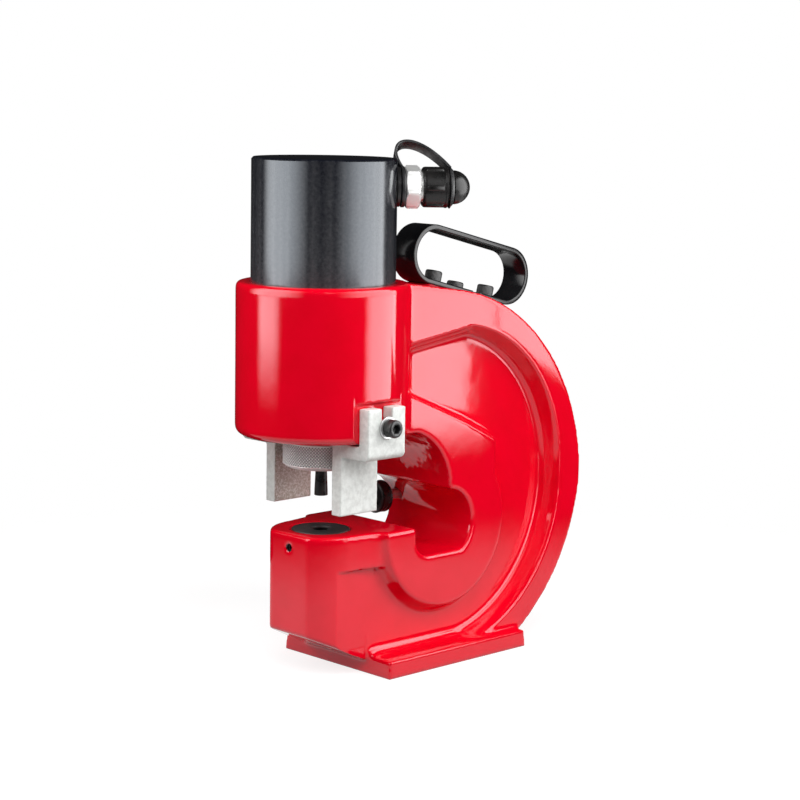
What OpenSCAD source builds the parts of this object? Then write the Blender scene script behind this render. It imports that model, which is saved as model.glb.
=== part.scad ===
// Hydraulic hole punch head: a C-shaped casting with a spring-return ram above a die.
// Millimetres. X across the head, Y from front to back, Z up from the floor.
// The origin is the centre of the base's bottom face.

/* [Base] */
// Length of the base along Y, at the floor
base_l = 146; // [130:1:165]
// Width of the base along X, at the floor
base_w = 117; // [106:1:135]
// Height of the base
base_h = 13; // [10:0.5:17]
// How far each base face leans in from floor to top
base_draft = 0.9; // [0.5:0.1:3]

/* [Frame casting] */
// Base centre to punch axis
punch_reach = 90; // [84:1:96]
// Floor to the die's face
jaw_top = 106; // [100:1:112]
// Diameter of the lower jaw's nose
jaw_d = 74; // [66:1:80]
// Punch axis to the flat on the nose
jaw_flat = 31; // [29:0.5:34]
// Floor to the underside of the nose at its flat
jaw_under = 32; // [26:1:38]
// Floor to the underside of the nose where it meets the base
jaw_foot = 9; // [5:0.5:9.5]
// Height of the jaw's flared head
jaw_head_h = 26; // [22:1:30]
// Punch axis to the back wall of the lower jaw
jaw_len = 54; // [49:0.5:57]
// Clear height from the die's face to the collar
daylight = 71; // [66:1:78]
// Punch axis to the deepest point of the throat
throat_depth = 113; // [106:1:118]
// Radius of the throat's lower lobe
lobe_r = 27; // [24:0.5:29]
// How far the throat dips below the die's face
throat_dip = 22.5; // [18:0.5:24]
// Punch axis to the cusp between the throat's lobes
cusp_depth = 90; // [84:1:95]
// Radius of the throat's upper lobe
upper_lobe_r = 51.5; // [48:0.5:56]
// Width of the outer rim across X
rim_w = 100; // [94:1:106]
// Thickness of the rim, seen from the side
rim_t = 25.5; // [20:0.5:30]
// Thickness of the web between the side pockets
web_w = 68; // [62:1:78]
// Radius of the fillet between the web and the base
web_fillet = 9; // [4:0.5:12]
// Width across the raised boss round the throat
boss_w = 92; // [86:1:96]
// Wall of the raised boss under the throat
boss_wall = 34; // [28:1:38]
// Base centre to the back of the spine
spine_back = 141.5; // [134:1:150]
// Radius of the spine's upper curve
spine_r = 160; // [152:1:168]
// How far the top of the spine's curve lies below the collar's top
spine_drop = 6; // [3:0.5:10]
// Radius of the spine's lower curve
spine_low_r = 156; // [150:1:162]
// How far the side pockets narrow from mouth to floor
pocket_draft = 6; // [2:0.5:8]

/* [Collar and cylinder] */
// Diameter of the collar that holds the cylinder
collar_d = 126.5; // [122:0.5:132]
// Height of the collar
collar_h = 111; // [104:1:118]
// Edge radius at the top of the collar
collar_top_r = 3.5; // [1:0.5:5]
// Edge radius at the bottom of the collar
collar_low_r = 6; // [2:0.5:8]
// Outside diameter of the cylinder barrel
barrel_d = 105; // [102:0.5:108]
// How far the barrel stands above the collar
barrel_proud = 89; // [82:1:98]
// Bore of the cylinder
bore_d = 76; // [72:0.5:80]
// Thickness of the barrel's closed end
barrel_cap = 16.5; // [14:0.5:17]
// Seat of the barrel above the collar's underside
barrel_seat = 28; // [24:1:34]

/* [Ram] */
// Diameter of the ram rod
rod_d = 44; // [40:0.5:46]
// Length of the piston
piston_h = 24; // [20:1:28]
// Free height above the piston's nut at rest
head_room = 6.5; // [3:0.5:8]
// Height of the nut on the piston
piston_nut_h = 10; // [8:0.5:11]
// Wall of the guide bush
gland_wall = 14; // [10:0.5:16]
// Length of the guide bush
gland_h = 18; // [14:0.5:20]
// Wire of the return spring
spring_wire = 7; // [5:0.5:8]
// Turns of the return spring
spring_turns = 8; // [6:1:9]

/* [Punch and die] */
// Diameter of the knurled punch nut
nut_d = 57; // [52:0.5:59]
// Height of the punch nut
nut_h = 20; // [18:0.5:24]
// Gap from the punch nut up to the collar at rest
nut_gap = 4; // [3:0.5:8]
// Diameter of the punch at its cutting end
punch_d = 10.5; // [6:0.5:13]
// How far the punch stands out of its nut
punch_out = 22; // [18:0.5:25]
// Diameter of the punch's head
punch_head_d = 24; // [20:0.5:28]
// Height of the punch's head
punch_head_h = 8; // [6:0.5:9]
// Diameter of the die
die_d = 43; // [38:0.5:48]
// Height of the die
die_h = 30; // [22:1:36]
// Extra diameter of the die's hole over the punch
die_play = 0.7; // [0.4:0.1:1.2]
// Drop of the die's set screw below the die's face
set_drop = 10.5; // [8:0.5:14]

/* [Strippers] */
// Width of each stripper along Y
strip_w = 36; // [30:1:40]
// Thickness of the stripper bar
strip_t = 10; // [8:0.5:11]
// Punch axis to the inner face of a stripper leg
leg_in = 31; // [30:0.5:34]
// Depth of a milled seat on the collar
seat_depth = 4.25; // [3:0.25:6]
// Height of the stripper's bolted plate
plate_h = 37.5; // [32:0.5:42]
// Gap from the stripper's shelf up to the collar
shelf_gap = 1; // [0.6:0.1:2]
// Length of the leg below the shelf
leg_l = 43; // [38:1:48]
// Height of the bolt axis above the collar's underside
bolt_up = 12.5; // [10:0.5:15]
// Thread size of the stripper bolts and handle screws
bolt_d = 8; // [6:1:10]
// Play of the bolt in the stripper's slot
slot_play = 2; // [1:0.5:3]

/* [Coupler and dust cap] */
// Turn of the coupler's axis from the back towards the right, in degrees
port_turn = 38; // [0:1:60]
// Depth of the coupler's axis below the barrel's top
port_drop = 20.5; // [20:0.5:26]
// Length of the black port adapter
adapter_l = 3; // [2.5:0.5:8]
// Diameter of the port adapter
adapter_d = 29; // [26:0.5:31]
// Width across the coupler's flats
hex_af = 28; // [25:0.5:29.5]
// Length of the coupler's hexagon
hex_l = 11; // [9:0.5:16]
// Diameter of the coupler's nose inside the cap
nose_d = 22; // [19:0.5:23]
// Length of the coupler's nose
nose_l = 16.5; // [15:0.5:18]
// Diameter of the dust cap
cap_d = 30; // [28:0.5:32]
// Length of the dust cap's ribbed part
cap_l = 18; // [17.5:0.5:24]
// Diameter of the dust cap's round end
dome_d = 24.5; // [22:0.5:27]
// Width of the cap's strap
strap_w = 11.5; // [8:0.5:13]
// Thickness of the cap's strap
strap_t = 2; // [1.6:0.1:3]
// How high the strap's loop is drawn over the coupler's axis
strap_rise = 45.5; // [40:0.5:50]
// Lean of the strap's loop round the coupler's axis, in degrees
strap_lean = 31; // [20:1:36]
// Wall of the strap's rings
ring_wall = 4.2; // [2:0.2:5]

/* [Handle] */
// Distance between the centres of the handle's round ends
handle_l = 84.5; // [78:0.5:92]
// Outside height of the handle loop
handle_h = 45; // [40:0.5:50]
// Thickness of the handle bar
handle_t = 4; // [3:0.5:5]
// Width of the handle bar
handle_w = 24; // [20:0.5:28]
// Downward tilt of the handle, in degrees
handle_tilt = 14; // [12:0.5:16]
// How far the handle sits down the slope from the top of the spine
handle_slide = 28; // [26:0.5:30]
// Height of the handle's pad over the spine
pad_rise = 1.2; // [0.8:0.1:3]
// Gap between the ends of the handle bar
handle_split = 8; // [4:0.5:12]

/* [Edge stop] */
// Diameter of the stop's knurled knob
knob_d = 25; // [22:0.5:28]
// Length of the knob
knob_l = 10; // [8:0.5:12]
// Offset of the stop from the middle plane
stop_x = 35; // [32:0.5:37]
// Height of the stop above the die's face
stop_up = 7; // [4:0.5:10]
// Depth of the knob's back face from the punch axis
stop_depth = 96; // [93:0.5:98]
// Diameter of the stop's stud
stud_d = 8; // [6:0.5:10]

/* [Clearances] */
// Radial running clearance of a sliding fit
run_gap = 0.05; // [0.02:0.01:0.09]
// Gap between flat faces that slide past each other
slide_gap = 0.1; // [0.05:0.05:0.3]
// Radial clearance of a fixed fit
seat_gap = 0.05; // [0.02:0.01:0.1]

/* [Hidden] */
$fn = 96;
cut = 1;

enamel = [0.80, 0.02, 0.06];
gunmetal = [0.16, 0.17, 0.18];
steel = [0.62, 0.63, 0.65];
cast_silver = [0.80, 0.81, 0.80];
black = [0.07, 0.07, 0.08];
bronze = [0.70, 0.52, 0.26];
rubber = [0.09, 0.09, 0.10];

// Levels and radii of the casting
punch_y = -punch_reach;
collar_z = jaw_top + daylight;
collar_top = collar_z + collar_h;
collar_r = collar_d / 2;
seat_x = collar_r - seat_depth;
barrel_top = collar_top + barrel_proud;
barrel_z = collar_z + barrel_seat;
bore_end = barrel_top - barrel_cap;
base_front = -base_l / 2;

// Throat lobes, as points in Y and Z
lobe_y = punch_y + throat_depth - lobe_r;
lobe_z = jaw_top - 1.6;
throat_floor = jaw_top - throat_dip;
upper_lobe_y = punch_y + cusp_depth - upper_lobe_r;
upper_lobe_up = 22;
upper_lobe_z = jaw_top + upper_lobe_up;
jaw_front = punch_y - jaw_flat;
jaw_back = punch_y + jaw_len;
jaw_corner_r = min(14, throat_dip - 6);
slug_play = 8;
nose_split = punch_y + die_d / 2 + 5;

// Curves of the spine and of the side pockets
spine_y = spine_back - spine_r;
spine_z = collar_top - spine_drop - spine_r;
spine_low_y = spine_back - spine_low_r;
spine_low_z = 140;
crest_y = 4;
crest_z = spine_z + sqrt(spine_r * spine_r - (crest_y - spine_y) * (crest_y - spine_y));
rim_collar_y = punch_y + sqrt(collar_r * collar_r - rim_w * rim_w / 4);
pocket_r = 117.5;
pocket_z = 137;
pocket_low_r = 119;
pocket_low_z = 128;
pocket_back = spine_back - rim_t;
pocket_roof_y = 10;
pocket_roof_z = 252.5;
pocket_roof_slope = 8.3;
roof_lean = 30;
boss_r = lobe_r + boss_wall;
boss_behind = 25;
boss_crest = 21;
boss_back = punch_y + throat_depth + boss_behind;
boss_y = lobe_y + boss_crest;
boss_z = collar_z + 3;
boss_slope = -22.7;
boss_back_slope = -26.5;
boss_lean = 7;
boss_flare = 10;

// Ram, from the chamber's end down to the punch
ram_nut_top = bore_end - head_room;
piston_top = ram_nut_top - piston_nut_h;
piston_z = piston_top - piston_h;
rod_spigot_d = rod_d - 8;
nut_top = collar_z - nut_gap;
nut_z = nut_top - nut_h;
nut_floor = 4;
rod_end = nut_z + nut_floor + punch_head_h;
rod_thread_d = rod_d - 4;
punch_tip = nut_z - punch_out;
gland_d = rod_d + 2 * gland_wall;
gland_z = barrel_z - gland_h;
wiper_h = 6;
wiper_d = rod_d + 12;
seal_h = 6;
guide_h = 5;
groove = 4;
spring_r = (rod_d + bore_d) / 4;

// Strippers
plate_in = seat_x + slide_gap;
plate_out = plate_in + strip_t;
shelf_top = collar_z - shelf_gap;
shelf_z = shelf_top - strip_t;
leg_z = shelf_z - leg_l;
seat_top = shelf_z + plate_h + 3;
leg_out = leg_in + strip_t;
bolt_z = collar_z + bolt_up;
slot_w = bolt_d + slot_play;
washer_d = 2 * bolt_d;
washer_t = 1.6;
head_d = 1.5 * bolt_d + 1;
key_d = 0.75 * bolt_d;
tap_depth = 1.6 * bolt_d;

// Coupler stations along its axis, counted from the punch axis
port_z = barrel_top - port_drop;
spot_depth = 2.5;
port_face = barrel_d / 2 - spot_depth;
seal_t = 1.5;
adapter_y = port_face + seal_t;
neck_y = adapter_y + adapter_l;
neck_l = 3.5;
neck_d = adapter_d - 8;
hex_y = neck_y + neck_l;
nose_y = hex_y + hex_l;
nose_end = nose_y + nose_l;
cap_gap = 1.5;
cap_y = nose_y + cap_gap;
cap_end = cap_y + cap_l;
cone_l = 1;
groove_l = 3.6;
cap_neck_d = dome_d - 4;
cap_groove_y = cap_end + cone_l;
dome_y = cap_groove_y + groove_l;
port_d = 17;
duct_d = 6;
spigot_l = 11;
poppet_d = 9;
poppet_flange = 3;
chamber_d = poppet_d + 4;
chamber_y = hex_y + 4;
chamber_end = nose_end - 4;
poppet_y = chamber_end - poppet_flange;

// Handle on the spine's curve, its screws along its own length, and the pad they stand on
handle_out = spine_r + pad_rise + handle_h / 2;
handle_y = spine_y + handle_out * sin(handle_tilt) + handle_slide * cos(handle_tilt);
handle_z = spine_z + handle_out * cos(handle_tilt) - handle_slide * sin(handle_tilt);
handle_in = handle_h - 2 * handle_t;
split_at = 10;
screw_at = [-28, -3, 31];
screw_head_h = [bolt_d, 0.55 * bolt_d, bolt_d];
pad_w = handle_w + 4;
pad_from = -handle_l / 2 - 2;
pad_to = handle_l / 2 - 4;

// Edge stop
stop_z = jaw_top + stop_up;
knob_back = punch_y + stop_depth;
knob_front = knob_back - knob_l;
stop_wall = lobe_y + sqrt(lobe_r * lobe_r - (stop_z - lobe_z) * (stop_z - lobe_z));
stud_tap = 15;

// An outline drawn in Y and Z, given a width across X
module across(w) {
    rotate([90, 0, 90]) linear_extrude(w, center = true) children();
}

// A cylinder along X through a point in Y and Z
module x_rod(y, z, r, w) {
    translate([0, y, z]) rotate([0, 90, 0]) cylinder(r = r, h = w, center = true);
}

// The coupler's own frame: its axis along Y, from the punch axis out
module at_port() {
    translate([0, punch_y, port_z]) rotate([0, 0, -port_turn]) children();
}

// A station on the coupler's axis, with Z outward
module at_station(y) {
    at_port() translate([0, y, 0]) rotate([-90, 0, 0]) children();
}

// A cylinder on the coupler's axis
module y_rod(y, r, l) {
    at_station(y) cylinder(r = r, h = l);
}

// A cylinder on the punch axis
module z_rod(z, d, h) {
    translate([0, punch_y, z]) cylinder(d = d, h = h);
}

// A ring on the punch axis
module z_ring(z, d_out, d_in, h) {
    difference() {
        z_rod(z, d_out, h);
        z_rod(z - cut, d_in, h + 2 * cut);
    }
}

// Points of an arc in a profile
function arc(y, z, r, a0, a1, n = 6) = [for (i = [0:n]) [y + r * cos(a0 + (a1 - a0) * i / n), z + r * sin(a0 + (a1 - a0) * i / n)]];

// A socket screw along +Z, its head's seat at z = 0 and its shank below
module socket_screw(shank_l, head_h) {
    difference() {
        union() {
            cylinder(d = head_d, h = head_h);
            translate([0, 0, -shank_l]) cylinder(d = bolt_d, h = shank_l);
        }
        translate([0, 0, head_h * 0.4]) cylinder(d = key_d / cos(30), h = head_h, $fn = 6);
    }
}

// Frame casting
module base_block() {
    top_l = base_l / 2 - base_draft;
    top_w = base_w / 2 - base_draft;
    intersection() {
        across(base_w) polygon([[base_front, 0], [-base_front, 0], [top_l, base_h], [-top_l, base_h]]);
        rotate([90, 0, 0]) linear_extrude(base_l, center = true)
            polygon([[-base_w / 2, 0], [base_w / 2, 0], [top_w, base_h], [-top_w, base_h]]);
    }
}

// The hollow corner between the web and the base, on one side
module web_foot(side) {
    r = web_fillet;
    length = base_l - 2 * base_draft;
    corner = web_w / 2 - cut;
    difference() {
        translate([side * (corner + (r + cut) / 2), 0, base_h + (r - cut) / 2]) cube([r + cut, length, r + cut], center = true);
        translate([side * (web_w / 2 + r), 0, base_h + r]) rotate([90, 0, 0]) cylinder(r = r, h = base_l, center = true);
    }
}

module collar() {
    translate([0, punch_y, collar_z]) rotate_extrude()
        polygon(concat([[0, 0]],
            arc(collar_r - collar_low_r, collar_low_r, collar_low_r, -90, 0),
            arc(collar_r - collar_top_r, collar_h - collar_top_r, collar_top_r, 0, 90),
            [[0, collar_h]]));
}

module spine(w) {
    tall = collar_top + 2 * cut;
    reach = 2 * spine_back;
    intersection() {
        x_rod(spine_y, spine_z, spine_r, w);
        union() {
            intersection() {
                x_rod(spine_low_y, spine_low_z, spine_low_r, w);
                translate([-w / 2, base_front + base_draft, 0]) cube([w, reach, tall]);
            }
            translate([-w / 2, punch_y, lobe_z + lobe_r]) cube([w, reach, tall]);
        }
        translate([-w / 2, punch_y, 0]) cube([w, reach, tall]);
    }
    across(w) polygon([[rim_collar_y - 6, collar_top], [rim_collar_y, collar_top], [crest_y, crest_z],
        [crest_y, collar_z], [rim_collar_y - 6, collar_z]]);
}

// Everything below a plane through a point, sloping along Y and leaning across X
module below(x, y, z, slope, lean) {
    size = 4 * rim_w;
    translate([x, y, z]) rotate([slope, 0, 0]) rotate([0, lean, 0]) translate([0, 0, -size / 2]) cube(size, center = true);
}

module pocket_cone(y_back, z, r, side) {
    depth = (rim_w - web_w) / 2;
    slope = pocket_draft / depth;
    translate([side * web_w / 2, y_back - r, z]) rotate([0, side * 90, 0])
        cylinder(r1 = r - pocket_draft, r2 = r + slope * cut, h = depth + cut);
}

module pocket(side) {
    intersection() {
        union() {
            pocket_cone(pocket_back, pocket_z, pocket_r, side);
            pocket_cone(pocket_back, pocket_low_z, pocket_low_r, side);
        }
        below(side * rim_w / 2, pocket_roof_y, pocket_roof_z, pocket_roof_slope, -side * roof_lean);
    }
}

module rim() {
    difference() {
        intersection() {
            spine(rim_w);
            union() {
                translate([-rim_w, punch_y, lobe_z + lobe_r]) cube([2 * rim_w, 4 * rim_w, 4 * rim_w]);
                translate([-rim_w, lobe_y + lobe_r, 0]) cube([2 * rim_w, 4 * rim_w, 4 * rim_w]);
            }
        }
        pocket(1);
        pocket(-1);
    }
}

module boss_half(side) {
    x = side * boss_w / 2;
    intersection() {
        translate([x / 2, rim_collar_y + 2 * spine_r, collar_z]) cube([boss_w / 2, 4 * spine_r, 2 * daylight], center = true);
        below(x, boss_y, boss_z, boss_slope, side * boss_lean);
        below(x, boss_y, boss_z, boss_back_slope, side * boss_lean);
        translate([x, boss_back, collar_z]) rotate([0, 0, -side * boss_lean]) translate([0, -spine_r, 0])
            cube(2 * spine_r, center = true);
    }
    translate([0, lobe_y, lobe_z]) rotate([0, side * 90, 0])
        cylinder(r1 = boss_r + 2 * boss_flare, r2 = boss_r, h = boss_w / 2);
}

module throat_boss() {
    intersection() {
        union() {
            boss_half(1);
            boss_half(-1);
        }
        translate([-boss_w, jaw_back - jaw_d / 2, 0]) cube([2 * boss_w, 4 * boss_w, collar_top]);
    }
}

module lower_jaw() {
    flare = boss_w / 2;
    nose_r = jaw_d / 2;
    front = base_front + base_draft;
    far = 4 * base_w;
    intersection() {
        union() {
            z_rod(0, jaw_d, jaw_top);
            translate([0, 0, jaw_top - jaw_head_h]) linear_extrude(jaw_head_h)
                polygon([[-nose_r, punch_y], [nose_r, punch_y], [flare, jaw_back], [flare, lobe_y],
                    [-flare, lobe_y], [-flare, jaw_back]]);
            translate([-web_w / 2, punch_y, 0]) cube([web_w, lobe_y - punch_y, jaw_top]);
        }
        across(2 * base_w) polygon([[jaw_front, jaw_under], [front, jaw_foot], [front, 0], [far, 0],
            [far, jaw_top], [jaw_front, jaw_top]]);
    }
}

module throat() {
    w = 2 * base_w;
    roof = collar_z - jaw_top;
    intersection() {
        x_rod(upper_lobe_y, upper_lobe_z, upper_lobe_r, w);
        translate([-w / 2, upper_lobe_y - upper_lobe_r, jaw_top]) cube([w, 4 * upper_lobe_r, roof]);
    }
    intersection() {
        x_rod(lobe_y, lobe_z, lobe_r, w);
        translate([-w / 2, lobe_y - lobe_r, throat_floor]) cube([w, 2 * lobe_r, 2 * lobe_r]);
    }
    translate([-w / 2, punch_y - collar_r, jaw_top]) cube([w, upper_lobe_y - punch_y + collar_r, roof]);
    x_rod(jaw_back + jaw_corner_r, throat_floor + jaw_corner_r, jaw_corner_r, w);
    translate([-w / 2, jaw_back, throat_floor + jaw_corner_r])
        cube([w, lobe_y - jaw_back, throat_dip - jaw_corner_r + cut]);
    translate([-w / 2, jaw_back + jaw_corner_r, throat_floor])
        cube([w, lobe_y - jaw_back - jaw_corner_r, throat_dip + cut]);
}

module handle_place() {
    translate([0, handle_y, handle_z]) rotate([-handle_tilt, 0, 0]) children();
}

module handle_pad() {
    deep = 60;
    intersection() {
        handle_place() translate([-pad_w / 2, pad_from, -handle_h / 2 - deep]) cube([pad_w, pad_to - pad_from, deep]);
        translate([-pad_w / 2, rim_collar_y, pocket_roof_z - deep]) cube([pad_w, 2 * spine_back, 2 * deep]);
    }
}

// The whole casting, before its nose is parted off
module casting() {
    difference() {
        union() {
            base_block();
            web_foot(1);
            web_foot(-1);
            spine(web_w);
            rim();
            throat_boss();
            lower_jaw();
            collar();
            handle_pad();
        }
        throat();
        z_rod(barrel_z, barrel_d + 2 * seat_gap, collar_top);
        z_rod(gland_z, gland_d + 2 * seat_gap, collar_h);
        z_rod(collar_z - cut, rod_d + 4, collar_h);
        z_rod(collar_z - cut, wiper_d + 2 * seat_gap, wiper_h + cut);
        z_rod(jaw_top - die_h, die_d + 2 * seat_gap, daylight);
        z_rod(0, punch_d + slug_play, jaw_top);
        translate([0, punch_y, jaw_top - set_drop]) rotate([90, 0, 0]) cylinder(d = 5, h = jaw_d);
        for (side = [-1, 1]) {
            translate([side * (seat_x + rim_w / 2), punch_y, seat_top - daylight / 2])
                cube([rim_w, collar_d, daylight], center = true);
            translate([side * seat_x, punch_y, bolt_z]) rotate([0, -side * 90, 0])
                cylinder(d = bolt_d + 2 * seat_gap, h = tap_depth);
        }
        for (at = screw_at)
            handle_place() translate([0, at, -handle_h / 2 - tap_depth]) cylinder(d = bolt_d + 2 * seat_gap, h = tap_depth + cut);
        translate([-stop_x, stop_wall - lobe_r, stop_z]) rotate([-90, 0, 0])
            cylinder(d = stud_d + 2 * seat_gap, h = lobe_r + stud_tap);
    }
}

// The space of the jaw's nose, round the die
module nose_space() {
    front = punch_y - jaw_d;
    translate([-jaw_d, front, jaw_under]) cube([2 * jaw_d, nose_split - front, jaw_top - jaw_under + cut]);
    translate([-jaw_d, front, 0]) cube([2 * jaw_d, base_front - cut - front, jaw_top]);
}

module c_frame() {
    color(enamel) difference() {
        casting();
        nose_space();
    }
}

module jaw_nose() {
    color(enamel) intersection() {
        casting();
        nose_space();
    }
}

// Hydraulic cylinder
module cylinder_barrel() {
    chamfer = 1.5;
    color(gunmetal) difference() {
        union() {
            z_rod(barrel_z, barrel_d, barrel_top - barrel_z - chamfer);
            translate([0, punch_y, barrel_top - chamfer])
                cylinder(d1 = barrel_d, d2 = barrel_d - 2 * chamfer, h = chamfer);
        }
        z_rod(barrel_z - cut, bore_d, bore_end - barrel_z + cut);
        y_rod(port_face, adapter_d / 2 + 2, barrel_d);
        y_rod(port_face - spigot_l, port_d / 2 + seat_gap, barrel_d);
        y_rod(0, duct_d / 2, barrel_d);
    }
}

module gland_bush() {
    color(bronze) z_ring(gland_z, gland_d, rod_d + 2 * run_gap, gland_h);
}

module rod_wiper() {
    color(rubber) z_ring(collar_z, wiper_d, rod_d + 4 * run_gap, wiper_h);
}

module piston() {
    color(steel) difference() {
        z_ring(piston_z, bore_d - 2 * run_gap, rod_spigot_d + 2 * seat_gap, piston_h);
        z_ring(piston_top - 4 - seal_h, bore_d + 2, bore_d - 2 * groove, seal_h);
        z_ring(piston_z + 4, bore_d + 2, bore_d - groove, guide_h);
    }
}

module piston_seal() {
    color(rubber) z_ring(piston_top - 4 - seal_h, bore_d - 2 * run_gap, bore_d - 2 * groove, seal_h);
}

module piston_guide_ring() {
    color(bronze) z_ring(piston_z + 4, bore_d - 2 * run_gap, bore_d - groove, guide_h);
}

module piston_nut() {
    color(steel) difference() {
        z_ring(piston_top, rod_d + 8, rod_spigot_d + 2 * seat_gap, piston_nut_h);
        for (a = [0, 90])
            translate([0, punch_y, ram_nut_top]) rotate([0, 0, a])
                cube([2 * rod_d, 6, 6], center = true);
    }
}

module ram_rod() {
    color(steel) union() {
        z_rod(rod_end, rod_thread_d, nut_top - rod_end);
        z_rod(nut_top, rod_d, piston_z - nut_top);
        z_rod(piston_z, rod_spigot_d, ram_nut_top - piston_z);
    }
}

// A round wire wound about Z, from level z0 up to level z1
module coil(z0, z1, r, wire, turns) {
    rings = 12;
    sides = 6;
    n = turns * rings;
    rise = z1 - z0 - wire;
    points = [for (i = [0:n], k = [0:sides - 1])
        let (a = 360 * i / rings, b = 360 * k / sides, q = r + wire / 2 * cos(b))
            [q * cos(a), q * sin(a), z0 + wire / 2 + rise * i / n + wire / 2 * sin(b)]];
    walls = [for (i = [0:n - 1], k = [0:sides - 1])
        let (k2 = (k + 1) % sides, p = i * sides, q = (i + 1) * sides) each [[p + k, q + k, p + k2], [p + k2, q + k, q + k2]]];
    start = [for (k = [1:sides - 2]) [0, k, k + 1]];
    stop = [for (k = [1:sides - 2]) [n * sides, n * sides + k + 1, n * sides + k]];
    polyhedron(points, concat(walls, start, stop));
}

module return_spring() {
    color(steel) translate([0, punch_y, 0]) coil(barrel_z + slide_gap, piston_z - slide_gap, spring_r, spring_wire, spring_turns);
}

// Punch, die and their fastenings
module punch_nut() {
    edge = 2;
    color(steel) difference() {
        union() {
            z_rod(nut_z + edge, nut_d, nut_h - edge);
            translate([0, punch_y, nut_z]) cylinder(d1 = nut_d - 2 * edge, d2 = nut_d, h = edge);
        }
        z_rod(nut_z - cut, punch_d + 2, nut_h);
        z_rod(nut_z + nut_floor, punch_head_d + 2 * seat_gap, nut_h);
        z_rod(rod_end, rod_thread_d + 2 * seat_gap, nut_h);
    }
}

module punch() {
    relief = 1.2;
    color(black) union() {
        z_rod(nut_z + nut_floor, punch_head_d, punch_head_h);
        translate([0, punch_y, punch_tip]) cylinder(d1 = punch_d, d2 = punch_d - relief, h = nut_z + nut_floor - punch_tip);
    }
}

module die() {
    color(gunmetal) difference() {
        z_rod(jaw_top - die_h, die_d, die_h);
        z_rod(jaw_top - die_h - cut, punch_d + die_play, die_h + 2 * cut);
        z_rod(jaw_top - die_h - cut, punch_d + 3, die_h / 2);
    }
}

module die_set_screw() {
    screw_l = jaw_flat - die_d / 2 - 2.5;
    color(black) translate([0, punch_y - die_d / 2 - seat_gap, jaw_top - set_drop]) rotate([90, 0, 0]) difference() {
        cylinder(d = 5 - 2 * seat_gap, h = screw_l);
        translate([0, 0, screw_l / 2]) cylinder(d = 2.5 / cos(30), h = screw_l, $fn = 6);
    }
}

// Strippers: a plate on the collar, a shelf under it and a leg beside the punch
module stripper(side) {
    corner = 5;
    plate_top = shelf_z + plate_h;
    translate([0, punch_y, 0]) difference() {
        rotate([90, 0, 0]) linear_extrude(strip_w, center = true) scale([side, 1])
            polygon(concat([[leg_in, leg_z], [leg_out, leg_z], [leg_out, shelf_z]],
                arc(plate_out - corner, shelf_z + corner, corner, -90, 0),
                [[plate_out, plate_top], [plate_in, plate_top], [plate_in, shelf_top], [leg_in, shelf_top]]));
        translate([side * plate_in, 0, bolt_z]) rotate([0, 90, 0]) cylinder(d = slot_w, h = 4 * strip_t, center = true);
        translate([side * plate_in, 0, bolt_z + plate_h / 2]) cube([4 * strip_t, slot_w, plate_h], center = true);
    }
}

module stripper_right() {
    color(cast_silver) stripper(1);
}

module stripper_left() {
    color(cast_silver) stripper(-1);
}

module at_stripper_bolt(side, x) {
    translate([side * x, punch_y, bolt_z]) rotate([0, side * 90, 0]) children();
}

module stripper_bolts() {
    shank_l = plate_out + slide_gap + washer_t - seat_x + tap_depth - 2;
    color(black) for (side = [-1, 1])
        at_stripper_bolt(side, plate_out + slide_gap + washer_t) socket_screw(shank_l, bolt_d);
}

module stripper_washers() {
    color(steel) for (side = [-1, 1])
        at_stripper_bolt(side, plate_out + slide_gap) difference() {
            cylinder(d = washer_d, h = washer_t);
            translate([0, 0, -cut]) cylinder(d = bolt_d + 2 * seat_gap, h = washer_t + 2 * cut);
        }
}

// Coupler
module port_seal() {
    color(rubber) difference() {
        y_rod(port_face, adapter_d / 2 - 2, seal_t);
        y_rod(port_face - cut, port_d / 2 + seat_gap, seal_t + 2 * cut);
    }
}

module port_adapter() {
    color(black) difference() {
        union() {
            y_rod(port_face - spigot_l + cut, port_d / 2, neck_y - port_face + spigot_l - cut);
            y_rod(adapter_y, adapter_d / 2, adapter_l);
            y_rod(adapter_y, neck_d / 2, hex_y - adapter_y);
        }
        y_rod(0, duct_d / 2, adapter_d + barrel_d);
    }
}

module coupler_body() {
    vertex_turn = 46;
    color(steel) difference() {
        union() {
            at_station(hex_y) rotate([0, 0, -vertex_turn])
                cylinder(d = hex_af / cos(30), h = hex_l, $fn = 6);
            y_rod(hex_y, nose_d / 2, hex_l + nose_l);
        }
        y_rod(hex_y - cut, duct_d / 2, hex_l + nose_l);
        y_rod(chamber_y, chamber_d / 2, chamber_end - chamber_y);
        y_rod(chamber_y, poppet_d / 2 + run_gap, hex_l + nose_l);
    }
}

module coupler_poppet() {
    tail_d = poppet_d - 3;
    color(steel) union() {
        y_rod(poppet_y, poppet_d / 2, nose_end - poppet_y);
        y_rod(poppet_y, chamber_d / 2 - 2 * run_gap, poppet_flange);
        y_rod(poppet_y - poppet_flange, tail_d / 2, poppet_flange);
    }
}

module coupler_spring() {
    wire = 1.2;
    color(steel) at_station(chamber_y)
        coil(slide_gap, poppet_y - chamber_y - slide_gap, chamber_d / 2 - wire, wire, 7);
}

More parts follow.
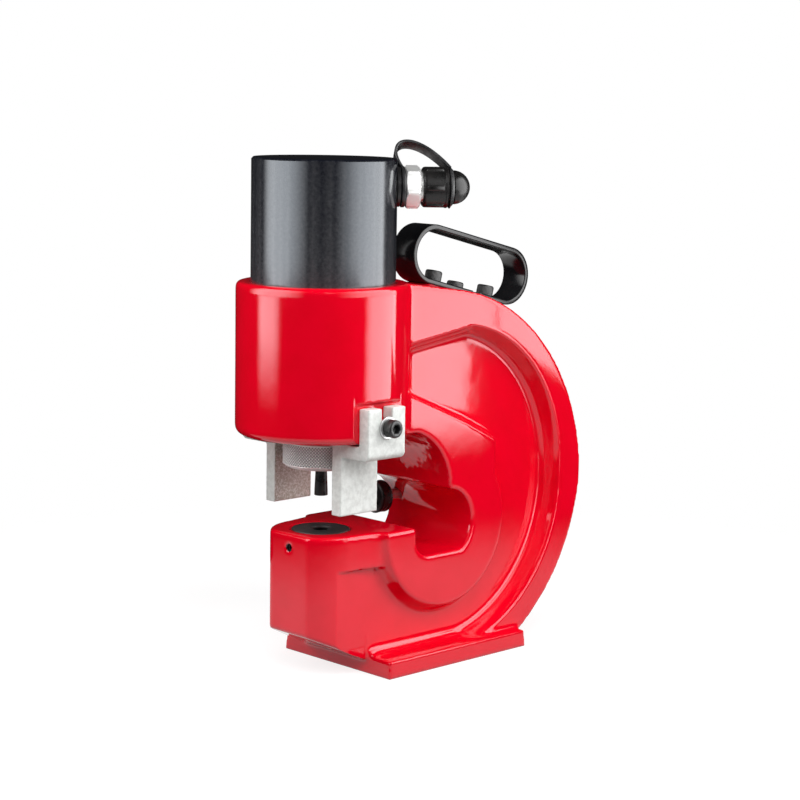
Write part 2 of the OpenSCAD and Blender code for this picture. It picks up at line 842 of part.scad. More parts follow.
module dust_cap() {
    ribs = 6;
    rib_w = 2.4;
    rib_h = 0.8;
    color(black) difference() {
        union() {
            y_rod(cap_y, cap_d / 2, cap_l);
            at_station(cap_end) cylinder(d1 = cap_d, d2 = cap_d - 2 * cone_l, h = cone_l);
            y_rod(cap_end - cut, cap_neck_d / 2, dome_y - cap_end + 2 * cut);
            at_station(dome_y) intersection() {
                sphere(d = dome_d);
                translate([-dome_d, -dome_d, 0]) cube(2 * dome_d);
            }
            for (i = [0:ribs - 1])
                at_station(cap_y + cap_l / 5) rotate([0, 0, i * 360 / ribs])
                    translate([cap_d / 2 - 1, -rib_w / 2, 0]) cube([1 + rib_h, rib_w, cap_l * 0.65]);
        }
        y_rod(cap_y - cut, nose_d / 2 + slide_gap, nose_end + 3 * slide_gap - cap_y + cut);
    }
}

// The strap's middle line, as a curve through four guide points: along the coupler's axis and out from it
strap_back = 12;
strap_fore = 9;
strap_root = [neck_y + neck_l / 2, neck_d / 2 + ring_wall - strap_t / 2];
strap_end = [cap_groove_y + groove_l / 2, cap_neck_d / 2 + ring_wall - strap_t / 2];
strap_guide = [strap_root, [neck_y - strap_back, 0.85 * strap_rise], [hex_y + strap_fore, strap_rise], strap_end];
function bezier(p, t) = pow(1 - t, 3) * p[0] + 3 * pow(1 - t, 2) * t * p[1] + 3 * (1 - t) * t * t * p[2] + pow(t, 3) * p[3];
function slope(p, t) = let (v = bezier(p, t + 0.01) - bezier(p, t - 0.01)) v / norm(v);
function strap_edge(t, off) = let (v = slope(strap_guide, t)) bezier(strap_guide, t) + off * [-v[1], v[0]];

module strap_ring(y, d_in, l) {
    difference() {
        y_rod(y, d_in / 2 + ring_wall, l);
        y_rod(y - cut, d_in / 2, l + 2 * cut);
    }
}

module dust_cap_strap() {
    steps = 24;
    side_gap = 0.4;
    color(rubber) union() {
        strap_ring(neck_y + side_gap, neck_d + 2 * slide_gap, neck_l - 2 * side_gap);
        strap_ring(cap_groove_y + side_gap, cap_neck_d + 2 * slide_gap, groove_l - 2 * side_gap);
        at_port() rotate([0, -strap_lean, 0]) across(strap_w) polygon(concat(
            [for (i = [0:steps]) strap_edge(i / steps, strap_t / 2)],
            [for (i = [0:steps]) strap_edge(1 - i / steps, -strap_t / 2)]));
    }
}

// Carrying handle
module loop_outline(h) {
    for (end = [-1, 1])
        translate([end * handle_l / 2, 0]) circle(d = h);
    square([handle_l, h], center = true);
}

module handle() {
    color(black) handle_place() difference() {
        across(handle_w) difference() {
            loop_outline(handle_h);
            loop_outline(handle_in);
        }
        translate([0, split_at, -handle_h / 2]) cube([2 * handle_w, handle_split, 3 * handle_t], center = true);
        for (at = screw_at)
            translate([0, at, -handle_h / 2 - cut]) cylinder(d = bolt_d + 1, h = handle_t + 2 * cut);
    }
}

module handle_screws() {
    color(black) for (i = [0:len(screw_at) - 1])
        handle_place() translate([0, screw_at[i], handle_t - handle_h / 2])
            socket_screw(handle_t + tap_depth - 2, screw_head_h[i]);
}

// Edge stop in the throat
module edge_stop_knob() {
    edge = 1;
    color(black) translate([-stop_x, knob_front, stop_z]) rotate([-90, 0, 0]) difference() {
        union() {
            cylinder(d1 = knob_d - 2 * edge, d2 = knob_d, h = edge);
            translate([0, 0, edge]) cylinder(d = knob_d, h = knob_l - 2 * edge);
            translate([0, 0, knob_l - edge]) cylinder(d1 = knob_d, d2 = knob_d - 2 * edge, h = edge);
        }
        translate([0, 0, knob_l / 3]) cylinder(d = stud_d + 2 * run_gap, h = knob_l);
    }
}

module edge_stop_stud() {
    start = knob_front + knob_l / 3 + 1;
    color(steel) translate([-stop_x, start, stop_z]) rotate([-90, 0, 0])
        cylinder(d = stud_d, h = stop_wall + stud_tap - start - 1);
}

c_frame();
jaw_nose();
cylinder_barrel();
gland_bush();
rod_wiper();
piston();
piston_seal();
piston_guide_ring();
piston_nut();
ram_rod();
return_spring();
punch_nut();
punch();
die();
die_set_screw();
stripper_right();
stripper_left();
stripper_bolts();
stripper_washers();
port_seal();
port_adapter();
coupler_body();
coupler_poppet();
coupler_spring();
dust_cap();
dust_cap_strap();
handle();
handle_screws();
edge_stop_knob();
edge_stop_stud();
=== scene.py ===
import math

import bpy
import numpy as np
from mathutils import Matrix, Vector, noise


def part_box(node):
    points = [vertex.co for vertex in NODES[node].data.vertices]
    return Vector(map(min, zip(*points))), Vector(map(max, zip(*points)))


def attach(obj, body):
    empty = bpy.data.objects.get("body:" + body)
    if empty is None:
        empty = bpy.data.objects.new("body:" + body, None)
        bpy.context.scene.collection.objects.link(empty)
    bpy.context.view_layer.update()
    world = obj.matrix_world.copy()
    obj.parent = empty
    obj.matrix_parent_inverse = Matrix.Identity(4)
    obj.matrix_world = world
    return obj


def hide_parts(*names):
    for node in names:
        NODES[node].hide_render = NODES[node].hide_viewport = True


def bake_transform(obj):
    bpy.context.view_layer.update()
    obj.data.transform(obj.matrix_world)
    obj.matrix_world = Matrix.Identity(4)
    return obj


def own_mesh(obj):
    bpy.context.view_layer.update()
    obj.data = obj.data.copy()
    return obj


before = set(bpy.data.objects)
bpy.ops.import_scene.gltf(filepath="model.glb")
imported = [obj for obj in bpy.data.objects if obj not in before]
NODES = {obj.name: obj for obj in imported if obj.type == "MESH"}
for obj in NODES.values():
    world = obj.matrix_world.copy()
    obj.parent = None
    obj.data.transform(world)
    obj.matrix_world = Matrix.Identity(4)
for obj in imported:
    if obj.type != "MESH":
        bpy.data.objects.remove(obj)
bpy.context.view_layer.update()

MM = 0.001
TURN = 2 * math.pi
UP = (0, 0, 1)
CORNER_STEPS = 3


# Sizes read from the frame, in millimetres
def node_box(name):
    low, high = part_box(name)
    return np.array(low) / MM, np.array(high) / MM


def centre(name):
    low, high = node_box(name)
    return (low + high) / 2


def top(name):
    return node_box(name)[1][2]


def bottom(name):
    return node_box(name)[0][2]


def half_width(name):
    low, high = node_box(name)
    return (high[0] - low[0]) / 2


PUNCH_Y = centre("ram_rod")[1]
PUNCH = np.array([0.0, PUNCH_Y, 0.0])
COLLAR_Z = bottom("rod_wiper")
JAW_TOP = top("die")
BARREL_R = half_width("cylinder_barrel")
DIE_R = half_width("die")
SET_SCREW_Z = centre("die_set_screw")[2]
BOLT_Z = centre("stripper_bolts")[2]
HANDLE = centre("handle")

# Sizes of the part's source that no node's box gives
HANDLE_TILT = math.radians(14)
WEB_HALF = 34.0
STRIPPER_REACH = 10.1
SEAT_X = node_box("stripper_right")[1][0] - STRIPPER_REACH
SEAT_LOW, SEAT_HIGH = COLLAR_Z - 2, COLLAR_Z + 34
SET_SCREW_R, HOLE_FRONT, HOLE_BACK = 2.6, -122, -111
SCREW_HEAD_R, SCREW_SHANK_R, SCREW_KEY = 6.5, 4.0, 6.0

# The oil coupler, by stations out along its own axis from the punch axis
PORT = np.array([0.0, PUNCH_Y, centre("port_adapter")[2]])
PORT_TURN = math.radians(38)
OUT = np.array([math.sin(PORT_TURN), math.cos(PORT_TURN), 0.0])
ADAPTER_AT = BARREL_R - 1.0
NECK_AT = ADAPTER_AT + 3.0
HEX_AT = NECK_AT + 3.5
CAP_AT = HEX_AT + 12.5
GROOVE_AT = CAP_AT + 19.0
DOME_AT = GROOVE_AT + 3.6
DUCT_R, NECK_R, GROOVE_R = 3, 10.5, 10.25


# Meshes
def add_piece(name, shape, material, body, replaces=(), sharp=35):
    """A mesh in millimetres that rides on a body and takes the finish it is given."""
    verts, faces = shape
    mesh = bpy.data.meshes.new(name)
    mesh.from_pydata([tuple(v) for v in np.asarray(verts) * MM], [], faces)
    mesh.validate()
    return dress(bpy.data.objects.new(name, mesh), material, body, replaces, sharp)


def dress(obj, material, body, replaces=(), sharp=35):
    bpy.context.scene.collection.objects.link(obj)
    mesh = obj.data
    mesh.materials.clear()
    mesh.materials.append(material)
    mesh.polygons.foreach_set("use_smooth", np.ones(len(mesh.polygons), bool))
    if sharp:
        mesh.set_sharp_from_angle(angle=math.radians(sharp))
    mesh.update()
    if body:
        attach(obj, body)
    if replaces:
        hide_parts(*replaces)
    return obj


def axis_frame(axis):
    """Two unit vectors square to an axis, and the axis itself."""
    w = np.array(axis, float)
    w /= np.linalg.norm(w)
    helper = np.array([0.0, 0.0, 1.0]) if abs(w[2]) < 0.9 else np.array([1.0, 0.0, 0.0])
    u = np.cross(helper, w)
    u /= np.linalg.norm(u)
    return u, np.cross(w, u), w


def turned(rings, origin, axis, steps=96, closed=False):
    """A turned solid from rings of (radius, distance along the axis).
    A radius may be a function of the turn."""
    u, v, w = axis_frame(axis)
    angles = np.arange(steps) * TURN / steps
    round_dir = np.cos(angles)[:, None] * u + np.sin(angles)[:, None] * v
    verts, loops = [], []
    for radius, along in rings:
        at = np.array(origin, float) + w * along
        if not callable(radius) and radius == 0:
            loops.append([len(verts)])
            verts.append(at)
            continue
        r = radius(angles) if callable(radius) else np.full(steps, float(radius))
        loops.append(list(range(len(verts), len(verts) + steps)))
        verts.extend(at + r[:, None] * round_dir)
    pairs = list(zip(loops, loops[1:]))
    if closed:
        pairs.append((loops[-1], loops[0]))
    faces = []
    for a, b in pairs:
        for i in range(steps):
            j = (i + 1) % steps
            if len(a) == 1:
                faces.append((a[0], b[j], b[i]))
            elif len(b) == 1:
                faces.append((a[i], a[j], b[0]))
            else:
                faces.append((a[i], a[j], b[j], b[i]))
    return verts, faces


def eased(profile, radius):
    """A polyline of (radius, along) points with its inner corners rounded off."""
    most = 0.45
    out = [profile[0]]
    for a, b, c in zip(profile, profile[1:], profile[2:]):
        pa, pb, pc = (np.array(p, float) for p in (a, b, c))
        to_a, to_c = pa - pb, pc - pb
        r = min(radius, most * np.linalg.norm(to_a), most * np.linalg.norm(to_c))
        start = pb + to_a / np.linalg.norm(to_a) * r
        stop = pb + to_c / np.linalg.norm(to_c) * r
        for t in np.linspace(0, 1, CORNER_STEPS + 1):
            out.append(tuple((1 - t) ** 2 * start + 2 * t * (1 - t) * pb + t * t * stop))
    out.append(profile[-1])
    return out


def join(*shapes):
    verts, faces = [], []
    for more_verts, more_faces in shapes:
        base = len(verts)
        verts.extend(more_verts)
        faces.extend(tuple(i + base for i in face) for face in more_faces)
    return verts, faces


def moved(shape, turn, shift):
    verts, faces = shape
    return list(np.asarray(verts) @ np.asarray(turn).T + np.asarray(shift)), faces


def turn_to(axis):
    """A turn that takes +Z to an axis."""
    return np.array(Vector(UP).rotation_difference(Vector(axis)).to_matrix())


def zigzag(x):
    """A triangle wave between 0 and 1."""
    return 1 - np.abs(x % 2 - 1)


def hexagon(across_flats, turn=0.0, limit=1e9):
    """The outline of a hexagon with a corner at a turn, cut off by a circle."""
    def radius(angles):
        a = (angles - turn) % (math.pi / 3) - math.pi / 6
        return np.minimum(across_flats / 2 / np.cos(a), limit)
    return radius


def diamond_knurl(radius, depth, pitch, start, length, along=0.45):
    """Rings of a knurled band: two sets of grooves that cross, as a knurling tool leaves them."""
    run_out = 0.9
    count = round(TURN * radius / pitch)
    rings = []
    for s in np.arange(0, length + along / 2, along):
        fade = max(min(1.0, s / run_out, (length - s) / run_out), 0.0)

        def knurled(angles, s=s, fade=fade):
            a = angles / TURN * count * 2
            b = s / pitch * 2
            return radius - depth * fade * (1 - np.minimum(zigzag(a + b), zigzag(a - b)))
        rings.append((knurled, start + s))
    return rings


def straight_knurl(radius, depth, count):
    """The outline of a head with grooves along it and flat lands between them."""
    land = 1.6

    def ribbed(angles):
        return radius - depth * (1 - np.minimum(1, land * zigzag(angles / TURN * count * 2)))
    return ribbed


def read_numbers(items, field, kind, width):
    numbers = np.zeros(len(items) * width, kind)
    items.foreach_get(field, numbers)
    return numbers.reshape(-1, width)


def mark_painted_shade(piece, origin, along, radius, depth, start, stop):
    """Keeps how deep each point between two places along an axis lies under a radius, for the
    finish to paint shade there: the deeper the point, the darker."""
    p = read_numbers(piece.data.vertices, "co", np.float32, 3) / MM - np.asarray(origin)
    r = np.linalg.norm(np.delete(p, along, axis=1), axis=1)
    deep = np.clip((radius - r) / depth, 0, 1)
    deep[(p[:, along] < start) | (p[:, along] > stop)] = 0
    # The attribute carries the painted shade's depth to the finish.
    kept = piece.data.attributes.new("deep", "FLOAT", "POINT")
    kept.data.foreach_set("value", deep.astype(np.float32))


def swept(path, section):
    """A section of (across, out) points carried along a path of (point, out direction, across
    direction)."""
    verts, faces = [], []
    n = len(section)
    for at, out_dir, across_dir in path:
        at, out_dir, across_dir = (np.asarray(v) for v in (at, out_dir, across_dir))
        verts.extend(at + across * across_dir + out * out_dir for across, out in section)
    for k in range(len(path) - 1):
        p, q = k * n, (k + 1) * n
        faces.extend((p + i, p + (i + 1) % n, q + (i + 1) % n, q + i) for i in range(n))
    faces.append(tuple(reversed(range(n))))
    faces.append(tuple((len(path) - 1) * n + i for i in range(n)))
    return verts, faces


def strip_section(width, thickness, corner):
    """The outline of a flat bar with rounded edges."""
    half_w, half_t = width / 2 - corner, thickness / 2 - corner
    points = []
    for side, face, start in ((1, 1, 0), (-1, 1, 90), (-1, -1, 180), (1, -1, 270)):
        for a in np.radians(np.linspace(start, start + 90, CORNER_STEPS + 1)):
            points.append((side * half_w + corner * math.cos(a),
                           face * half_t + corner * math.sin(a)))
    return points


# Node groups that more than one finish uses
def new_group(name, inputs, outputs):
    group = bpy.data.node_groups.new(name, "ShaderNodeTree")
    for socket, kind, value in inputs:
        made = group.interface.new_socket(socket, in_out="INPUT", socket_type="NodeSocket" + kind)
        made.default_value = value
    for socket in outputs:
        group.interface.new_socket(socket, in_out="OUTPUT", socket_type="NodeSocketFloat")
    return group, group.nodes.new("NodeGroupInput"), group.nodes.new("NodeGroupOutput")


def node(tree, kind, **settings):
    made = tree.nodes.new(kind)
    for key, value in settings.items():
        if key in made.inputs:
            made.inputs[key].default_value = value
        else:
            setattr(made, key, value)
    return made


def fill(tree, socket, value):
    if isinstance(value, bpy.types.NodeSocket):
        tree.links.new(value, socket)
    else:
        socket.default_value = value


def math_node(tree, operation, *values):
    made = node(tree, "ShaderNodeMath", operation=operation)
    for socket, value in zip(made.inputs, values):
        fill(tree, socket, value)
    return made.outputs[0]


def range_node(tree, value, low, high, to_low=0.0, to_high=1.0):
    made = node(tree, "ShaderNodeMapRange", interpolation_type="SMOOTHSTEP")
    values = {"Value": value, "From Min": low, "From Max": high,
              "To Min": to_low, "To Max": to_high}
    for key, number in values.items():
        fill(tree, made.inputs[key], number)
    return made.outputs["Result"]


def mix_colour(tree, factor, a, b):
    made = node(tree, "ShaderNodeMix", data_type="RGBA")
    fill(tree, made.inputs["Factor"], factor)
    colour_a, colour_b, result = made.inputs[6], made.inputs[7], made.outputs[2]
    for socket, value in ((colour_a, a), (colour_b, b)):
        fill(tree, socket, value if isinstance(value, bpy.types.NodeSocket) else (*value, 1.0))
    return result


def noise_at(tree, coord, scale, detail=3.0, roughness=0.55):
    made = node(tree, "ShaderNodeTexNoise", Detail=detail, Roughness=roughness)
    fill(tree, made.inputs["Scale"], scale)
    tree.links.new(coord, made.inputs["Vector"])
    return made.outputs["Fac"]


def object_coord(tree):
    return node(tree, "ShaderNodeTexCoord").outputs["Object"]


def mottle_group():
    """A slow and a quick grain, for colour and roughness that vary over a surface and for its
    bump."""
    group, inp, out = new_group(
        "Mottle", [("Slow Scale", "Float", 60.0), ("Quick Scale", "Float", 900.0)],
        ["Slow", "Quick"])
    coord = object_coord(group)
    for name in ("Slow", "Quick"):
        grain = noise_at(group, coord, inp.outputs[name + " Scale"])
        group.links.new(grain, out.inputs[name])
    return group


def edge_group():
    """A mask of the outer edges, broken up by specks, for edge wear and for painted highlight and
    shade.
    """
    group, inp, out = new_group(
        "Edge wear, painted highlight and painted shade", [("Low", "Float", 0.55), ("High", "Float", 0.65), ("Breakup", "Float", 0.08)],
        ["Mask"])
    specks = noise_at(group, object_coord(group), 420.0, detail=5.0, roughness=0.65)
    shift = math_node(group, "MULTIPLY", math_node(group, "SUBTRACT", specks, 0.5),
                      inp.outputs["Breakup"])
    pointed = node(group, "ShaderNodeNewGeometry").outputs["Pointiness"]
    mask = range_node(group, math_node(group, "ADD", pointed, shift),
                      inp.outputs["Low"], inp.outputs["High"])
    group.links.new(mask, out.inputs["Mask"])
    return group


def tool_lines_group():
    """Fine lines square to a direction, as a lathe or a grinder leaves them."""
    group, inp, out = new_group(
        "Tool lines", [("Along", "Vector", (0.0, 0.0, 1.0)), ("Pitch", "Float", 4000.0)], ["Lines"])
    dot = node(group, "ShaderNodeVectorMath", operation="DOT_PRODUCT")
    group.links.new(object_coord(group), dot.inputs[0])
    group.links.new(inp.outputs["Along"], dot.inputs[1])
    place_along = math_node(group, "MULTIPLY", dot.outputs["Value"], inp.outputs["Pitch"])
    lines = node(group, "ShaderNodeTexNoise", noise_dimensions="1D", Scale=1.0, Detail=2.0)
    group.links.new(place_along, lines.inputs["W"])
    group.links.new(lines.outputs["Fac"], out.inputs["Lines"])
    return group


def painted_shade_group():
    """A mask of painted shade on the places that lie deep."""
    group, inp, out = new_group(
        "Painted shade in hollows", [("Low", "Float", 0.35), ("High", "Float", 0.95)], ["Mask"])
    deep = node(group, "ShaderNodeAttribute", attribute_name="deep").outputs["Fac"]
    mask = range_node(group, deep, inp.outputs["Low"], inp.outputs["High"])
    group.links.new(mask, out.inputs["Mask"])
    return group


MOTTLE = mottle_group()
EDGES = edge_group()
TOOL_LINES = tool_lines_group()
PAINTED_SHADE = painted_shade_group()


# Finishes
def place(tree, group, **values):
    made = node(tree, "ShaderNodeGroup", node_tree=group)
    for key, value in values.items():
        made.inputs[key.replace("_", " ")].default_value = value
    return made


def inner_toned(tree, colour, inner_tone):
    """Darker specks of a colour on the sides that face the middle, within a distance of it in mm.
    """
    soft = 0.4
    apart = node(tree, "ShaderNodeSeparateXYZ")
    coord = object_coord(tree)
    tree.links.new(coord, apart.inputs[0])
    from_middle = math_node(tree, "ABSOLUTE", apart.outputs["X"])
    inside = range_node(tree, from_middle, inner_tone["within"] * MM, (inner_tone["within"] - soft) * MM)
    specks = noise_at(tree, coord, 620.0, detail=5.0, roughness=0.8)
    specks = range_node(tree, specks, 0.38, 0.58)
    return mix_colour(tree, math_node(tree, "MULTIPLY", inside, specks), colour, inner_tone["colour"])


def finish(name, colour, shade, rough, metallic=0.0, slow=60.0, quick=900.0, bump=0.1, depth=0.2,
           edge=None, lines=None, inner_tone=None, sheen=None, hollow=None):
    """A finish: two mottled colours, roughness that varies and a fine bump of a depth in mm.
    edge recolours the outer edges: wear, a painted highlight on the barrel, painted shade on the
    strippers; lines are tool marks; inner_tone lays darker specks on the inner sides; sheen sets
    the gloss; and hollow is the colour of the painted shade on what lies deep."""
    material = bpy.data.materials.new(name)
    material.use_nodes = True
    tree = material.node_tree
    shader = tree.nodes["Principled BSDF"]
    shader.inputs["Metallic"].default_value = metallic
    if sheen:
        shader.inputs["Specular Tint"].default_value = (*sheen["tint"], 1.0)
        shader.inputs["Specular IOR Level"].default_value = sheen["level"]
    grain = place(tree, MOTTLE, Slow_Scale=slow, Quick_Scale=quick)
    mottle = (grain.outputs["Slow"], 0.3, 0.7)
    colour_out = mix_colour(tree, range_node(tree, *mottle), colour, shade)
    rough_out = range_node(tree, *mottle, *rough)
    # Darker specks on the inner sides.
    if inner_tone:
        colour_out = inner_toned(tree, colour_out, inner_tone)
    # Painted shade: what lies deep takes the hollow colour.
    if hollow:
        colour_out = mix_colour(tree, place(tree, PAINTED_SHADE).outputs["Mask"], colour_out, hollow)
    # The edge colour is wear, a painted highlight on the barrel, and painted shade on the
    # strippers.
    if edge:
        mask = place(tree, EDGES, Low=edge["low"], High=edge["high"],
                     Breakup=edge.get("breakup", 0.06)).outputs["Mask"]
        colour_out = mix_colour(tree, mask, colour_out, edge["colour"])
        if "metallic" in edge:
            worn = range_node(tree, mask, 0.0, 1.0, metallic, edge["metallic"])
            tree.links.new(worn, shader.inputs["Metallic"])
    height = grain.outputs["Quick"]
    if lines:
        marks = place(tree, TOOL_LINES, Along=lines["along"], Pitch=lines["pitch"]).outputs["Lines"]
        height = math_node(tree, "MULTIPLY_ADD", height, 0.4, marks)
        rough_out = math_node(tree, "MULTIPLY_ADD", marks, lines["rough"], rough_out)
    bumped = node(tree, "ShaderNodeBump", Strength=bump, Distance=depth * MM)
    tree.links.new(height, bumped.inputs["Height"])
    tree.links.new(bumped.outputs["Normal"], shader.inputs["Normal"])
    tree.links.new(colour_out, shader.inputs["Base Color"])
    tree.links.new(rough_out, shader.inputs["Roughness"])
    return material


LATHE_Z = {"along": UP, "pitch": 6000, "rough": 0.1}
DULL_SHEEN = {"tint": (1.0, 1.0, 1.0), "level": 0.35}
RED = finish(
    "red enamel", (0.78, 0.0006, 0.015), (0.73, 0.0005, 0.012), (0.05, 0.09),
    # hollow: painted shade, near black, inside the set-screw hole.
    slow=35, quick=260, bump=0.04, depth=0.5, hollow=(0.012, 0.006, 0.006),
    sheen={"tint": (1.0, 0.90, 0.96), "level": 0.5})
GUNMETAL = finish(
    "satin black barrel", (0.0045, 0.005, 0.009), (0.006, 0.007, 0.011), (0.14, 0.17),
    slow=45, quick=400, bump=0.004, sheen={"tint": (0.86, 0.93, 1.0), "level": 0.62},
    lines={"along": UP, "pitch": 5000, "rough": 0.02},
    # Lighter edges: wear, with a painted highlight as of a machined rim catching light.
    edge={"low": 0.56, "high": 0.68, "colour": (0.10, 0.10, 0.105)})
CAST_SILVER = finish(
    "plated casting", (0.75, 0.77, 0.745), (0.62, 0.635, 0.61), (0.48, 0.62),
    slow=260, quick=1400, bump=0.55, depth=0.35,
    # Darker edges: painted shade along the strippers' bevels.
    edge={"low": 0.54, "high": 0.62, "breakup": 0.10, "colour": (0.22, 0.23, 0.23)},
    # Darker specks on the strippers' inner sides.
    inner_tone={"within": 31.6, "colour": (0.37, 0.35, 0.285)})
STEEL = finish(
    "turned steel", (0.68, 0.68, 0.68), (0.58, 0.58, 0.59), (0.22, 0.34),
    metallic=0.7, slow=80, quick=1800, lines=LATHE_Z)
KNURLED = finish(
    "knurled steel", (0.86, 0.86, 0.85), (0.76, 0.76, 0.76), (0.34, 0.44),
    # hollow: painted shade in the knurl's grooves.
    metallic=0.2, slow=120, quick=1800, hollow=(0.24, 0.24, 0.24))
CHROME = finish(
    "hard chrome", (0.80, 0.81, 0.82), (0.76, 0.77, 0.78), (0.08, 0.14),
    metallic=0.6, slow=80, quick=1800, bump=0.03)
NICKEL = finish(
    "nickel plate", (0.84, 0.84, 0.83), (0.76, 0.76, 0.75), (0.26, 0.36),
    metallic=0.55, slow=120, quick=1500, bump=0.06,
    lines={"along": (0, 1, 0), "pitch": 3000, "rough": 0.06})
BLACK_OXIDE = finish(
    "black oxide", (0.010, 0.010, 0.011), (0.017, 0.0165, 0.0165), (0.26, 0.38),
    metallic=0.2, slow=200, quick=2500, bump=0.15,
    edge={"low": 0.58, "high": 0.72, "colour": (0.20, 0.19, 0.18), "metallic": 0.9})
DIE_STEEL = finish(
    "dark die steel", (0.040, 0.039, 0.041), (0.052, 0.051, 0.052), (0.34, 0.46),
    # hollow: painted shade, near black, in the die's bore and dish.
    metallic=0.4, slow=90, quick=1800, hollow=(0.003, 0.003, 0.003),
    edge={"low": 0.58, "high": 0.72, "colour": (0.22, 0.22, 0.22)})
BLACK_PAINT = finish(
    "black handle paint", (0.005, 0.005, 0.006), (0.008, 0.008, 0.009), (0.12, 0.20),
    slow=60, quick=700, bump=0.08, sheen=DULL_SHEEN,
    edge={"low": 0.57, "high": 0.63, "breakup": 0.04, "colour": (0.50, 0.50, 0.50),
          "metallic": 0.5})
BLACK_PLASTIC = finish(
    "black plastic", (0.006, 0.006, 0.006), (0.009, 0.008, 0.008), (0.24, 0.34),
    slow=120, quick=2200, bump=0.2, sheen=DULL_SHEEN)
RUBBER = finish(
    "black rubber", (0.012, 0.012, 0.013), (0.018, 0.018, 0.019), (0.30, 0.44),
    slow=150, quick=2500, bump=0.15)
BRONZE = finish(
    "turned bronze", (0.55, 0.36, 0.14), (0.48, 0.31, 0.12), (0.25, 0.38),
    metallic=1.0, slow=80, quick=1500, lines=LATHE_Z)


# Castings: the CAD solid with the rounded edges and the uneven skin of a casting
def vertex_normals(points, quads):
    corners = points[quads]
    flat = np.cross(corners[:, 2] - corners[:, 0], corners[:, 3] - corners[:, 1])
    total = np.stack([sum(np.bincount(quads[:, c], flat[:, k], len(points)) for c in range(4))
                      for k in range(3)], 1)
    return total / np.maximum(np.linalg.norm(total, axis=1), 1e-12)[:, None]


def remeshed(sources, name, voxel):
    """One fine mesh of even squares over several CAD solids that meet."""
    verts, faces = [], []
    for source in sources:
        data = NODES[source].data
        base = len(verts)
        verts.extend(v.co[:] for v in data.vertices)
        faces.extend(tuple(i + base for i in p.vertices) for p in data.polygons)
    raw = bpy.data.meshes.new(name + "_raw")
    raw.from_pydata(verts, [], faces)
    rough = bpy.data.objects.new(name + "_raw", raw)
    bpy.context.scene.collection.objects.link(rough)
    remesh = rough.modifiers.new("Remesh", "REMESH")
    remesh.mode = "VOXEL"
    remesh.voxel_size = voxel * MM
    bpy.context.view_layer.update()
    depsgraph = bpy.context.evaluated_depsgraph_get()
    mesh = bpy.data.meshes.new_from_object(rough.evaluated_get(depsgraph))
    bpy.data.objects.remove(rough)
    return mesh


def cast_skin(sources, name, voxel, rounds, ease, lumps, trim, material, body):
    """Remeshes CAD solids finely, lets hollow corners fill and outer edges round off, and adds a
    casting's unevenness. ease gives both shares at each point, lumps the depth and spread of its
    lumps, and trim restores the machined places."""
    step_share = 0.5
    falloff, finer, octaves = 1.0, 2.0, 2
    mesh = remeshed(sources, name, voxel)
    count = len(mesh.vertices)
    points = read_numbers(mesh.vertices, "co", float, 3) / MM
    quads = read_numbers(mesh.loops, "vertex_index", np.int32, 1).reshape(-1, 4)
    a, b = read_numbers(mesh.edges, "vertices", np.int32, 2).T
    degree = np.bincount(a, minlength=count) + np.bincount(b, minlength=count)
    degree = np.maximum(degree, 1)[:, None]
    hollow, proud = ease(points)
    for _ in range(rounds):
        total = np.stack([np.bincount(a, points[b, k], count) + np.bincount(b, points[a, k], count)
                          for k in range(3)], 1)
        step = total / degree - points
        outward = (step * vertex_normals(points, quads)).sum(1)
        points += step_share * np.where(outward > 0, hollow, proud)[:, None] * step
    depth, spread = lumps(points)
    uneven = [noise.fractal(Vector(p) / s, falloff, finer, octaves)
              for p, s in zip(points, spread)]
    push = np.array(uneven) * depth * hollow
    points = trim(points + vertex_normals(points, quads) * push[:, None])
    mesh.vertices.foreach_set("co", (points * MM).ravel())
    mesh.update()
    return dress(bpy.data.objects.new(name, mesh), material, body, sources, sharp=0)


def frame_ease(p):
    """Hollow corners of the casting fill well and its edges round a little; machined places stay
    as they are."""
    edge, base_edge, jaw_edge, machined_edge = 0.26, 0.22, 0.25, 0.04
    base_top, jaw_r = 16, 40
    x, y, z = p.T
    r = np.hypot(x, y - PUNCH_Y)
    hollow = np.ones(len(p))
    proud = np.full(len(p), edge)
    proud[z < base_top] = base_edge
    proud[(np.abs(z - JAW_TOP) < 3) & (r < jaw_r)] = jaw_edge
    barrel_bore = (r < BARREL_R + 1.5) & (z > COLLAR_Z + 3)
    die_seat = (r < DIE_R + 2) & (z < JAW_TOP + 2)
    rod_hole = (r < 31) & (np.abs(z - COLLAR_Z) < 4)
    stripper_seat = (np.abs(x) > SEAT_X - 1.2) & (z > SEAT_LOW) & (z < SEAT_HIGH)
    screw_hole = (np.hypot(x, z - SET_SCREW_Z) < 5) & (y < HOLE_BACK + 1)
    foot = z < 0.8
    machined = barrel_bore | die_seat | rod_hole | stripper_seat | screw_hole | foot
    hollow[machined] = machined_edge
    proud[machined] = machined_edge
    return hollow, proud


def frame_lumps(p):
    """The throat was cored and left as cast, so it is rougher than the dressed outside."""
    low, high = (-43, -62, JAW_TOP + 14), (43, 32, COLLAR_Z + 2)
    throat = np.all((p > low) & (p < high), axis=1)
    return np.where(throat, 0.16, 0.04), np.where(throat, 7.0, 18.0)


def true_bore(p, axis, along, radius, low, high):
    """Moves the points near a bore's wall on to it."""
    band = 0.9
    across = [k for k in range(3) if k != along]
    away = p[:, across] - np.array(axis)
    r = np.linalg.norm(away, axis=1)
    near = (np.abs(r - radius) < band) & (p[:, along] > low) & (p[:, along] < high)
    p[np.ix_(near, across)] = np.array(axis) + away[near] * (radius / r[near])[:, None]


